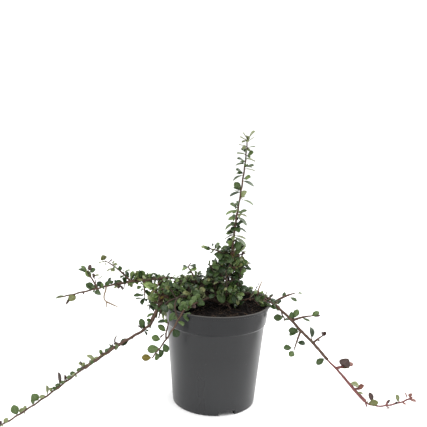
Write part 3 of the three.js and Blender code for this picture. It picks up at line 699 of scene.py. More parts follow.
@dataclass
class Pot:
    """The round tapered nursery pot, with its rim, collar, foot ring and drainage notches."""

    height: float = 124.0
    rim: float = 65.0
    rim_depth: float = 3.0
    collar_depth: float = 24.3
    collar_top: float = 63.6
    collar_foot: float = 61.2
    wall_top: float = 59.4
    foot: float = 49.8
    wall: float = 1.5
    disc: float = 30.0
    channel: tuple[float, float] = (33.0, 42.0)
    channel_height: float = 5.0
    ring_inner: float = 44.5
    notches: int = 3
    notch_turn: float = 20.0
    notch_width: float = 20.0
    notch_height: float = 4.6
    dusty: float = 0.7
    columns: int = 216
    corner_points: int = 5
    row_step: float = 6.0
    notch_edge: float = 0.0012

    @property
    def collar_foot_height(self) -> float:
        """Height of the step under the collar."""
        return self.height - self.collar_depth

    @property
    def collar_top_height(self) -> float:
        """Height of the rim's lower edge."""
        return self.height - self.rim_depth

    def radius_at(self, height: np.ndarray) -> np.ndarray:
        """Outer radius of the pot at heights."""
        wall = mix((self.foot, self.wall_top), height / self.collar_foot_height)
        tall = self.collar_top_height - self.collar_foot_height
        share = (height - self.collar_foot_height) / tall
        collar = mix((self.collar_foot, self.collar_top), share)
        upper = np.where(height >= self.collar_top_height, self.rim, collar)
        return np.where(height >= self.collar_foot_height, upper, wall)

    def profile(self) -> np.ndarray:
        """The section from the underside's middle, up the outside, over the rim and down inside.

        Each corner is rounded: two points lie a rounding before and after it, and those between
        are on the parabola that the corner pulls towards itself.

        Returns:
            Rows of radius, height and 1 on the inner skin or 0 on the outer one.
        """
        step, top, t = self.collar_foot_height, self.collar_top_height, self.wall
        rows = [
            (self.disc, 0, 1.0), (self.channel[0], self.channel_height, 1.0),
            (self.channel[1], self.channel_height, 0.8), (self.ring_inner, 0, 0.8),
            (self.foot, 0, 1.8), (self.wall_top, step - 0.2, 0.9),
            (self.collar_foot, step + t, 0.7),
            (self.collar_top - 0.1, top, 0.35), (self.rim, top, 0.5), (self.rim, self.height, 0.9),
            (self.collar_top - t, self.height, 0.8), (self.collar_top - t, top, 0.8),
            (self.collar_foot - t, step + 2 * t, 0.8), (self.wall_top - t, step + t, 0.8),
            (self.foot - t, t, 2.0), (self.ring_inner + t, t, 0.5),
            (self.channel[1] + t, self.channel_height + t, 0.6),
            (self.channel[0] - t, self.channel_height + t, 0.6), (self.disc - t, t, 0.6),
        ]
        corners = np.array(rows)
        closed = np.vstack([[0, 0, 0], corners, [0, t, 0]])
        before = unit(closed[:-2, :2] - closed[1:-1, :2])
        after = unit(closed[2:, :2] - closed[1:-1, :2])
        here, r = corners[:, None, :2], corners[:, None, 2:]
        s = np.linspace(0, 1, self.corner_points)[None, :, None]
        start, end = here + before[:, None] * r, here + after[:, None] * r
        arcs = start * (1 - s) ** 2 + 2 * here * s * (1 - s) + end * s**2
        over_rim = rows.index((self.collar_top - t, self.height, 0.8))
        inner = np.repeat(np.arange(len(rows)) >= over_rim, self.corner_points).astype(float)
        body = np.column_stack([arcs.reshape(-1, 2), inner])
        return np.vstack([[0, 0, 0], self.with_wall_rows(body), [0, t, 1]])

    def with_wall_rows(self, body: np.ndarray) -> np.ndarray:
        """The section with rows added on straight lines, so that none are over row_step apart."""
        gaps = np.linalg.norm(np.diff(body[:, :2], axis=0), axis=1)
        parts = np.maximum(1, np.ceil(gaps / self.row_step)).astype(int)
        places = [i + np.arange(p) / p for i, p in enumerate(parts)]
        places, given = np.concatenate([*places, [len(body) - 1]]), np.arange(len(body))
        return np.column_stack([np.interp(places, given, body[:, k]) for k in range(3)])

    def build(self) -> Patch:
        """The pot's surface: the section turned, then lifted over each notch.

        Returns:
            A closed patch. Where a column lies in a notch, the outer skin's height becomes the
            larger of its own and the notch's, and the inner skin's a wall more.
        """
        section = self.profile()
        centres = np.radians(-90 + self.notch_turn + np.arange(self.notches) * 360 / self.notches)
        half = math.asin(self.notch_width / 2 / self.foot)
        edges = np.concatenate([centres + side * half + edge for side in (-1, 1)
                                for edge in (-self.notch_edge, self.notch_edge)])
        even = np.arange(self.columns) * math.tau / self.columns
        angles = np.sort(np.concatenate([even, edges % math.tau]))
        patch = turned(section[:, :2], angles)
        ring = patch.points[:-2].reshape(-1, len(angles), 3)
        off = (angles[:, None] - centres + math.pi) % math.tau - math.pi
        inside = (np.abs(off) < half).any(axis=1)
        ridge = np.where(section[1:-1, 2] > 0.5, self.notch_height + self.wall, self.notch_height)
        outer = section[1:-1, 0] > self.channel[1] - 1
        lift = (ridge * outer)[:, None] * inside
        ring[..., 2] = np.maximum(ring[..., 2], lift)
        patch.with_finish(PotFinish.WALL)
        low = patch.points[patch.quads, 2].min(axis=1)
        patch.quad_finish[low > self.collar_foot_height] = PotFinish.COLLAR
        patch.quad_finish[low > self.height - self.dusty] = PotFinish.RIM_TOP
        return patch

    def dress(self) -> None:
        """Makes the pot's piece in its three finishes, in the order of their numbers: the plastic,
        dust on the rim's top, and on the collar a less shiny copy of the plastic that paints shade
        there.
        """
        dusty = MouldedPlastic("pot_rim_dust", (0.040, 0.037, 0.034), (0.120, 0.100, 0.085), 0.6)
        # The collar's less shiny copy of the plastic paints shade on the pot's upper part
        finishes = (MouldedPlastic(), dusty, MouldedPlastic("pot_collar", shine=0.28))
        materials = [finish.material() for finish in finishes]
        self.build().piece("pot_shell", "pot", materials, ["pot"])


@dataclass
class Soil:
    """The potting soil: its lumpy top and the crumbs, chips and fibres that lie on it."""

    pot: Pot
    level: float = 119.0
    edge: float = 61.0
    bottom: float = 6.9
    rings: int = 46
    columns: int = 150
    seed: int = 31
    side_gap: float = 2.0
    crumb_count: int = 1500
    chip_count: int = 150
    fibre_count: int = 190

    def height(self, x: np.ndarray, y: np.ndarray) -> np.ndarray:
        """Height of the top: waves of three sizes, a mound by the crown and one at its right."""
        slow = 0.75 * np.sin(0.31 * x + 1.7) * np.cos(0.27 * y - 0.6)
        middle = 0.45 * np.sin(0.83 * x - 0.5 * y) * np.cos(0.71 * y + 0.4 * x + 2.0)
        fine = 0.28 * np.sin(2.1 * x + 1.3 * y) * np.sin(1.7 * y - 0.9 * x + 0.7)
        mound = 1.6 * np.exp(-((x - 10) ** 2 + (y - 2) ** 2) / 180)
        heap = 2.2 * np.exp(-((x - 30) ** 2 + (y + 4) ** 2) / 90)
        return self.level + slow + middle + fine + mound + heap - 0.8

    def top(self) -> Patch:
        """The soil's body: the top on rings and the side down to the pot's floor."""
        inner = np.linspace(0, self.edge, self.rings)
        pot, gap = self.pot, self.side_gap
        foot = pot.foot - pot.wall - 2.2
        low = pot.collar_foot_height
        side = np.array([[foot, self.bottom], [pot.wall_top - gap, low],
                         [pot.collar_foot - gap, low + 5], [self.edge, self.level - 3]])
        crown = np.column_stack([inner[::-1], np.full(self.rings, self.level)])
        section = np.vstack([[[0, self.bottom]], side, crown])
        patch = turned(section, np.arange(self.columns) * math.tau / self.columns)
        points = patch.points
        surface = points[:, 2] > self.level - 0.01
        points[surface, 2] = self.height(points[surface, 0], points[surface, 1])
        return patch.with_finish(0)

    def scatter(self, rng: np.random.Generator, count: int) -> np.ndarray:
        """Places on the soil's top, spread evenly over its disc."""
        reach = self.edge - 1.5
        turn, radius = rng.random(count) * math.tau, reach * np.sqrt(rng.random(count))
        x, y = radius * np.cos(turn), radius * np.sin(turn)
        return np.stack([x, y, self.height(x, y)], axis=-1)

    def lumps(self, rng: np.random.Generator, count: int, sizes: tuple[float, float],
              flat: float) -> Patch:
        """Irregular grains: an octahedron with split edges, its corners pushed in and out.

        Args:
            rng: the seeded numbers.
            count: how many grains.
            sizes: smallest and largest radius.
            flat: how thin a grain is against its length, 1 for round.

        Returns:
            A patch of closed grains of 32 faces.
        """
        grid = np.array([(x, y, z) for x in (-1, 0, 1) for y in (-1, 0, 1) for z in (-1, 0, 1)
                         if abs(x) + abs(y) + abs(z) in (1, 2)], float)
        ball = unit(grid)
        faces = hull_faces(ball)
        centre = self.scatter(rng, count)
        size = mix(sizes, rng.random(count) ** 2.2)
        spin = np.linalg.qr(rng.normal(size=(count, 3, 3)))[0]
        shape = ball[None] * (1 + rng.normal(size=(count, len(ball), 1)) * 0.16)
        stretch = np.stack([1 + rng.random(count), np.ones(count), np.full(count, flat)], axis=-1)
        shape = shape * stretch[:, None]
        points = np.einsum("nij,nkj->nki", spin, shape) * size[:, None, None] + centre[:, None]
        tris = faces[None] + (np.arange(count) * len(ball))[:, None, None]
        corners, quads = points.reshape(-1, 3), np.zeros((0, 4), int)
        return Patch(corners, quads, tris.reshape(-1, 3), corners[:, :2] * MM).with_finish(0)

    def fibres(self, rng: np.random.Generator, count: int) -> Patch:
        """Root hairs and peat fibres: thin limbs on short bent lines that lie on the soil."""
        start = self.scatter(rng, count) * np.array([0.92, 0.92, 1])
        turn = rng.random(count) * math.tau
        length = 4 + 13 * rng.random(count)
        t = np.linspace(0, 1, 7)
        bend = turn[:, None] + (rng.random((count, 1)) - 0.5) * 2.6 * t
        step = length[:, None] / 6
        x = start[:, :1] + np.cumsum(np.cos(bend) * step, axis=1)
        y = start[:, 1:2] + np.cumsum(np.sin(bend) * step, axis=1)
        out = np.maximum(1, np.hypot(x, y) / (self.edge - 1))
        x, y = x / out, y / out
        z = self.height(x, y) + 0.35 + 1.6 * np.sin(math.pi * t) * rng.random((count, 1)) ** 2
        radius = np.repeat(0.1 + 0.17 * rng.random((count, 1)), 7, axis=1)
        return tubes(np.stack([x, y, z], axis=-1), radius, 4).with_finish(0)

    def dress(self) -> None:
        """Makes the soil's bed, crumbs, chips and fibres."""
        bed = Peat("soil_peat", (0.004, 0.0032, 0.0028), (0.011, 0.008, 0.0065)).material()
        self.top().piece("soil_bed", "potting_soil", [bed], ["potting_soil"])
        rng = np.random.default_rng(self.seed)
        crumb = Peat("soil_crumb", (0.0045, 0.0036, 0.0032), (0.015, 0.010, 0.008))
        chip = Peat("soil_chip", (0.014, 0.009, 0.0075), (0.045, 0.025, 0.018), 0.8)
        fibre = Peat("soil_fibre", (0.035, 0.022, 0.015), (0.130, 0.088, 0.058), 0.85)
        for name, patch, peat in (
            ("soil_crumbs", self.lumps(rng, self.crumb_count, (0.5, 2.0), 0.8), crumb),
            ("soil_chips", self.lumps(rng, self.chip_count, (0.8, 2.4), 0.32), chip),
            ("soil_fibres", self.fibres(rng, self.fibre_count), fibre),
        ):
            patch.piece(name, "potting_soil", [peat.material()])


def hull_faces(points: np.ndarray) -> np.ndarray:
    """Triangles round a small ball of points, from Blender's convex hull, facing outwards.

    Args:
        points: the ball's points, about the origin.

    Returns:
        Rows of three point numbers.
    """
    work = bmesh.new()
    corners = [work.verts.new(p) for p in points]
    work.verts.index_update()
    bmesh.ops.convex_hull(work, input=corners)
    faces = np.array([[v.index for v in f.verts] for f in work.faces])
    work.free()
    a, b, c = (points[faces[:, k]] for k in range(3))
    inward = (np.cross(b - a, c - a) * a).sum(1) < 0
    faces[inward] = faces[inward][:, ::-1]
    return faces


# ---- the plant ----


@dataclass(frozen=True)
class Crown:
    """The short woody stem that every limb grows from."""

    x: float = 10.0
    y: float = 2.0
    soil: float = 119.0
    height: float = 15.0
    foot: float = 8.2
    neck: float = 4.7
    flare: float = 2.4
    lean: tuple[float, float] = (2.0, -1.0)

    def radius(self, share: np.ndarray | float) -> np.ndarray | float:
        """Radius at shares of the height, wide at the foot and narrow at the neck."""
        return self.neck + (self.foot - self.neck) * (1 - np.asarray(share)) ** self.flare

    def at(self, share: np.ndarray | float) -> np.ndarray:
        """Points of its middle line: a parabola that leans as it rises."""
        t = np.atleast_1d(share)[:, None]
        foot = np.array([self.x, self.y, self.soil + SEAT_GAP])
        middle = foot + UP * self.height / 2
        top = foot + [*self.lean, self.height]
        return foot * (1 - t) ** 2 + 2 * middle * t * (1 - t) + top * t**2

    def seat(self, level: float | None, azimuth: float, radius: float) -> list[np.ndarray]:
        """The first two points of a limb that grows from the side, or from the top.

        Args:
            level: height of the seat over the foot, or None for the top.
            azimuth: turn of the limb from +X, in degrees.
            radius: the limb's radius at its root.

        Returns:
            Two points a short run apart.
        """
        if level is None:
            onward = unit(self.at(1.0)[0] - self.at(0.99)[0])
            start = self.at(1.0)[0] + onward * SEAT_GAP
            return [start, start + onward * SEAT_RUN]
        share = level / self.height
        angle = math.radians(azimuth)
        out = np.array([math.cos(angle), math.sin(angle), 0.0])
        start = self.at(share)[0] + out * (self.radius(share - radius / self.height) + CROWN_GAP)
        return [start, start + out * SEAT_RUN]


class Seat(Enum):
    """Where a limb leaves the crown stem: from its top, or from its side at a height."""

    TOP = None
    LOW = 4.6
    HIGH = 11.2


@dataclass(frozen=True)
class Limb:
    """One bough, from the crown stem to the mass of leaves that it carries."""

    name: str
    seat: Seat
    azimuth: float
    radii: tuple[float, float]
    through: Sequence[tuple[float, float, float]]


LIMBS = [
    Limb("bough_upright", Seat.TOP, 0, (2.1, 1.8), [(13.3, 0.8, 143)]),
    Limb("bough_left", Seat.LOW, 150, (2.0, 1.5),
         [(-14, 7, 134), (-32, 4, 143.5), (-50, 2, 149.5)]),
    Limb("bough_lower_left", Seat.LOW, 190, (2.1, 1.9),
         [(-16, -3, 135), (-36, -8, 139.5), (-51, -12, 137)]),
    Limb("bough_front_left", Seat.HIGH, 250, (1.5, 1.2), [(-6, -20, 134), (-20, -36, 133)]),
    Limb("bough_right", Seat.HIGH, 355, (2.0, 1.5), [(34, 1, 134.5), (50, 0, 134), (62, -1, 130)]),
    Limb("bough_back", Seat.HIGH, 70, (1.8, 1.3),
         [(12, 24, 136), (11, 46, 135), (10, 63, 130), (9, 71, 118)]),
]


@dataclass(frozen=True)
class Sprouts:
    """Side twigs set by rule between two shares of a stem."""

    count: int
    start: float
    end: float
    length: tuple[float, float]
    tilt: float


@dataclass(frozen=True)
class Mass:
    """One mass of leaves on its stem. The first group of fields is the source's.

    spacing, cluster, size, tilt and lift set its leaves. facing is how far blades turn from lying
    across the stem, 0, to looking at the face, 1. tones are dealt out by twig, and wood is the
    twigs' bark. finer is how many small side shoots each twig carries, tips how many leaves end
    one, crowd how much closer than spacing its leaves stand, broad a leaf's least width against
    its length, and stout thickens the twigs. ruled is the run of the stem on which the rule sets
    leaves, beyond which they are set one by one, and axils is the share of those with small young
    leaves beside them.
    """

    name: str
    radii: tuple[float, float]
    seed: int
    face: tuple[float, float, float]
    through: Sequence[tuple[float, float, float]]
    after: str = ""
    seat: Seat = Seat.LOW
    azimuth: float = 0.0
    twigs: Sequence[tuple] = ()
    sprouts: Sprouts | None = None
    spacing: float = 5.0
    cluster: tuple[int, int] = (3, 2)
    size: tuple[float, float] = (13.5, 11.5)
    tilt: tuple[float, float] = (62, 50)
    lift: float = 0.0
    facing: float = 0.5
    tones: dict[Tone, float] = field(default_factory=SUNNY.copy)
    wood: Wood = Wood.TWIG
    finer: int = 1
    tips: int = 2
    ruled: float = 1000.0
    broad: float = 0.5
    crowd: float = 1.0
    axils: float = 0.25
    stout: float = 1.7


THICKET = {"facing": 0.3, "tones": DENSE, "finer": 2, "crowd": 2.1, "wood": Wood.SHADE,
           "stout": 1.15}
SUNNY_THICKET = {**THICKET, "tones": SUNNY, "finer": 3, "crowd": 2.5}

MASSES = [
    Mass("foliage_upright", (1.6, 0.5), 19, (0.1, -1, 0.2),
         [(16, 1, 175), (20, -1, 222), (23.5, 0, 248), (26.5, 1, 272), (29, 0, 298), (30, -1, 320)],
         after="bough_upright", twigs=[(35, (-29, -4, 11), False), (33, (17, -3, 8), False)],
         sprouts=Sprouts(10, 0.01, 0.28, (19, 7), 64), spacing=6.4, cluster=(4, 2),
         size=(14.0, 10.5), tilt=(88, 44), facing=0.42, tones=SUNNY, finer=2, ruled=46, crowd=1.8,
         axils=0.8, stout=1.35),
    Mass("foliage_foot_left", (1.4, 0.7), 23, (-0.2, -1, 0.3),
         [(-1, -6, 140), (-4, -8, 152), (-5, -8, 162), (-9, -7, 170)], seat=Seat.HIGH, azimuth=205,
         sprouts=Sprouts(8, 0.1, 0.85, (15, 9), 60), lift=0.1, **THICKET),
    Mass("foliage_foot_right", (1.3, 0.6), 37, (0.3, -1, 0.3),
         [(20, -9, 140), (25, -9, 151), (28, -7, 161), (28, -6, 169)], seat=Seat.HIGH, azimuth=305,
         sprouts=Sprouts(7, 0.1, 0.85, (12, 8), 58), size=(12.5, 9.5), lift=0.05, **THICKET),
    Mass("foliage_crown_front", (1.2, 0.6), 41, (0, -1, 0.5),
         [(10, -15, 130), (12, -18, 142), (11, -17, 155), (10, -15, 166)], seat=Seat.LOW,
         azimuth=275, sprouts=Sprouts(9, 0.08, 0.9, (19, 11), 68), lift=0.05, **THICKET),
    Mass("foliage_left_top", (1.3, 0.6), 53, (-0.2, -0.8, 0.7),
         [(-8, 2, 139), (-20, -3, 146), (-34, -6, 149.5), (-52, -9, 149)], seat=Seat.HIGH,
         azimuth=165, twigs=[(32, (-9, -2, 19), False)],
         sprouts=Sprouts(8, 0.2, 0.92, (15, 11), 60), **SUNNY_THICKET),
    Mass("foliage_left_front", (1.4, 0.7), 67, (-0.4, -1, 0.6),
         [(-12, -16, 131), (-32, -26, 136), (-50, -32, 134), (-62, -38, 125), (-66, -42, 114)],
         seat=Seat.LOW, azimuth=225, twigs=[(62, (4, -20, -34), False)],
         sprouts=Sprouts(9, 0.12, 0.9, (19, 13), 62), lift=0.05, **THICKET),
    Mass("foliage_left_inner", (1.5, 1.2), 71, (0, -0.9, 0.6),
         [(-84, -1, 148), (-109, -2, 144), (-124, -3, 141)], after="bough_left",
         twigs=[(54, (-32, 3, 24), False), (57, (24, 6, 4), False), (38, (2, -7, -21), False),
                (12, (-14, -10, -14), False)],
         spacing=5.6, cluster=(3, 2), size=(11.0, 9.5), tilt=(58, 48), lift=0.2, tones=GOLDEN,
         finer=3, ruled=34, crowd=2.6, stout=1.4, axils=0.6),
    Mass("foliage_left_outer", (1.2, 0.5), 83, (0, -0.9, 0.6),
         [(-139, -4, 137), (-154, -5, 133), (-180, -6, 126), (-191, -6, 123.5)],
         after="foliage_left_inner", twigs=[(20, (-12, 0, 19), False)], spacing=7.5,
         cluster=(2, 1), size=(10.0, 8.5), tilt=(55, 20), lift=0.2, tones=AIRY, finer=0, ruled=0),
    Mass("foliage_left_lobe", (1.8, 1.6), 89, (-0.2, -0.8, 0.7),
         [(-62, -16, 129.5), (-68, -19, 120), (-75, -23, 104)], after="bough_lower_left",
         sprouts=Sprouts(7, 0.0, 0.55, (17, 12), 62), cluster=(3, 1), size=(12.0, 9.5), lift=0.25,
         tones=GOLDEN, finer=3, ruled=20, crowd=3.0),
    Mass("foliage_lower_left_inner", (1.6, 1.1), 97, (0.3, -0.6, 0.8),
         [(-86, -30, 93.5), (-109, -45, 82.5), (-145, -69, 62)], after="foliage_left_lobe",
         spacing=8.0, cluster=(2, 1), size=(9.0, 8.0), tilt=(42, 34), lift=0.8, tones=AIRY,
         finer=0, ruled=0),
    Mass("foliage_lower_left_outer", (1.1, 0.5), 103, (0.3, -0.6, 0.8),
         [(-179, -91, 39.5), (-209, -109, 22), (-238, -126, 8)], after="foliage_lower_left_inner",
         spacing=9.5, cluster=(1, 1), size=(9.0, 10.0), tilt=(46, 30), lift=0.9, tones=AIRY,
         finer=0, ruled=0),
    Mass("foliage_front_left", (1.1, 0.5), 110, (-0.3, -1, 0.2),
         [(-31, -50, 131), (-38, -58, 126), (-42.5, -59, 117), (-55.5, -58, 94), (-71, -56, 71)],
         after="bough_front_left", spacing=6.0, cluster=(2, 2), size=(12.0, 10.5), tilt=(66, 50),
         facing=0.75, tones=SUNNY, finer=0, ruled=0),
    Mass("foliage_right_tuft", (1.2, 0.6), 127, (0.3, -1, 0.5),
         [(32, -9, 129), (46, -10, 131), (58, -9, 131), (68, -9, 125)], seat=Seat.LOW, azimuth=325,
         twigs=[(44, (4, 8, 8), True)], sprouts=Sprouts(6, 0.35, 0.95, (12, 9), 60), spacing=6.0,
         cluster=(1, 3), size=(10.5, 10.0), lift=0.05, tones=SUNNY, crowd=2.0),
    Mass("foliage_right_upper", (1.5, 1.1), 131, (0.1, -1, 0.4),
         [(71, -2, 122.5), (89, -5, 107), (101.5, -7, 94), (117, -9, 79.5), (136, -11, 59)],
         after="bough_right",
         twigs=[(9, (25, -1, 13), False), (40, (26, 0, 7), False), (56, (-8, -8, -22), False),
                (77, (12, 0, 10), False)],
         spacing=9.5, cluster=(1, 1), size=(11.0, 11.5), tilt=(72, 60), facing=0.7, tones=SUNNY,
         finer=0, tips=1, ruled=0),
    Mass("foliage_right_middle", (1.1, 0.9), 139, (0.1, -1, 0.4),
         [(148, -12, 47.5), (163, -13, 31), (174, -14, 19), (184, -15, 9.5)],
         after="foliage_right_upper", twigs=[(15, (14, -1, 3), False)], spacing=15, cluster=(1, 1),
         size=(11.5, 9.0), tilt=(62, 45), lift=0.5, tones=ROSY, wood=Wood.ROSE, stout=2.5, finer=0,
         tips=1, ruled=0),
    Mass("foliage_right_tip", (0.9, 0.5), 149, (0, -1, 0.5),
         [(192, -15, 4.6), (205, -15, 3.8), (220, -11, 5), (235, -6, 7.5), (245, -1, 10)],
         after="foliage_right_middle", spacing=7.5, cluster=(1, 1), size=(9.0, 7.0), tilt=(48, 30),
         lift=0.5, tones=FLUSHED, wood=Wood.ROSE, stout=2.1, finer=0, ruled=0),
    Mass("foliage_back_left", (1.4, 0.7), 151, (-0.5, 1, 0.5),
         [(-2, 20, 134), (-16, 38, 134), (-28, 54, 131), (-36, 63, 122), (-39, 67, 108)],
         seat=Seat.HIGH, azimuth=115, sprouts=Sprouts(6, 0.15, 0.85, (18, 12), 60), **THICKET),
    Mass("foliage_back_right", (1.3, 0.6), 163, (0.6, 1, 0.4),
         [(30, 16, 127), (42, 31, 125.5), (51, 43, 126.5), (56, 50, 117), (58, 53, 104)],
         seat=Seat.HIGH, azimuth=30, sprouts=Sprouts(5, 0.15, 0.85, (11, 9), 60), size=(12.0, 9.5),
         **THICKET),
    Mass("foliage_back", (1.3, 0.5), 173, (0, 1, 0.4),
         [(7, 78, 96), (3, 85, 72), (0, 95, 50), (-5, 108, 34)], after="bough_back",
         twigs=[(24, (17, 4, -12), False), (44, (-16, 6, -10), False)], spacing=6.5,
         cluster=(2, 2), size=(11.0, 9.0), tilt=(60, 40), lift=0.1, tones=SUNNY, finer=0),
]


# Bare twigs that are set one by one, by mass: number of the carrier, bark, and the places of the
# twig's root and of the points that it passes through, in pixels of the photograph. A mass's
# carriers are numbered from its stem, 0, through its named twigs to these, and -1, -2 and so on
# are the rule's twigs.
BARE_TWIGS: dict[str, list[tuple]] = {
    "foliage_upright": [
        (0, Wood.TWIG, [(232, 262), (236.5, 262.8), (241.5, 263.2)]),
    ],
    "foliage_left_outer": [
        (0, Wood.DRY, [(106.5, 287), (105.5, 291), (104.3, 294.5), (104.2, 299), (106.3, 302),
                       (106.5, 307.5)]),
        (2, Wood.DRY, [(106.3, 301.5), (112, 304.3), (118, 307)]),
        (1, Wood.TWIG, [(95.5, 284.5), (95.6, 281.5), (95.3, 279.5)]),
        (0, Wood.DARK, [(70.3, 297), (68.8, 301), (66, 304.5)]),
    ],
    "foliage_lower_left_inner": [
        (0, Wood.DARK, [(116, 346), (114.7, 340.5), (115.5, 337.5), (116.8, 335.3)]),
        (0, Wood.DARK, [(113.5, 348), (112.3, 344)]),
        (0, Wood.DARK, [(86.5, 367), (82, 363.5), (80, 361.3)]),
    ],
    "foliage_front_left": [
        (0, Wood.SHADE, [(178, 319), (175.3, 310), (175.5, 302), (178, 297)]),
        (0, Wood.TWIG, [(165.5, 339), (166, 334), (167.3, 328), (168.6, 322)]),
    ],
    "foliage_right_upper": [
        (0, Wood.TWIG, [(281, 311), (282.5, 315.5), (284.5, 318.5), (284, 321)]),
    ],
    "foliage_right_tip": [
        (0, Wood.ROSE, [(385.8, 405.5), (386.8, 403), (387, 401)]),
        (0, Wood.ROSE, [(364.5, 401), (366.8, 406.7)]),
    ],
    "foliage_right_tuft": [
        (0, Wood.DRY, [(257, 298.5), (258, 291), (262, 281)]),
    ],
    "foliage_left_top": [
        (0, Wood.TWIG, [(197.5, 282.3), (193.8, 276), (190.5, 270.5), (188.4, 266.8),
                        (191.5, 262.6)]),
    ],
}

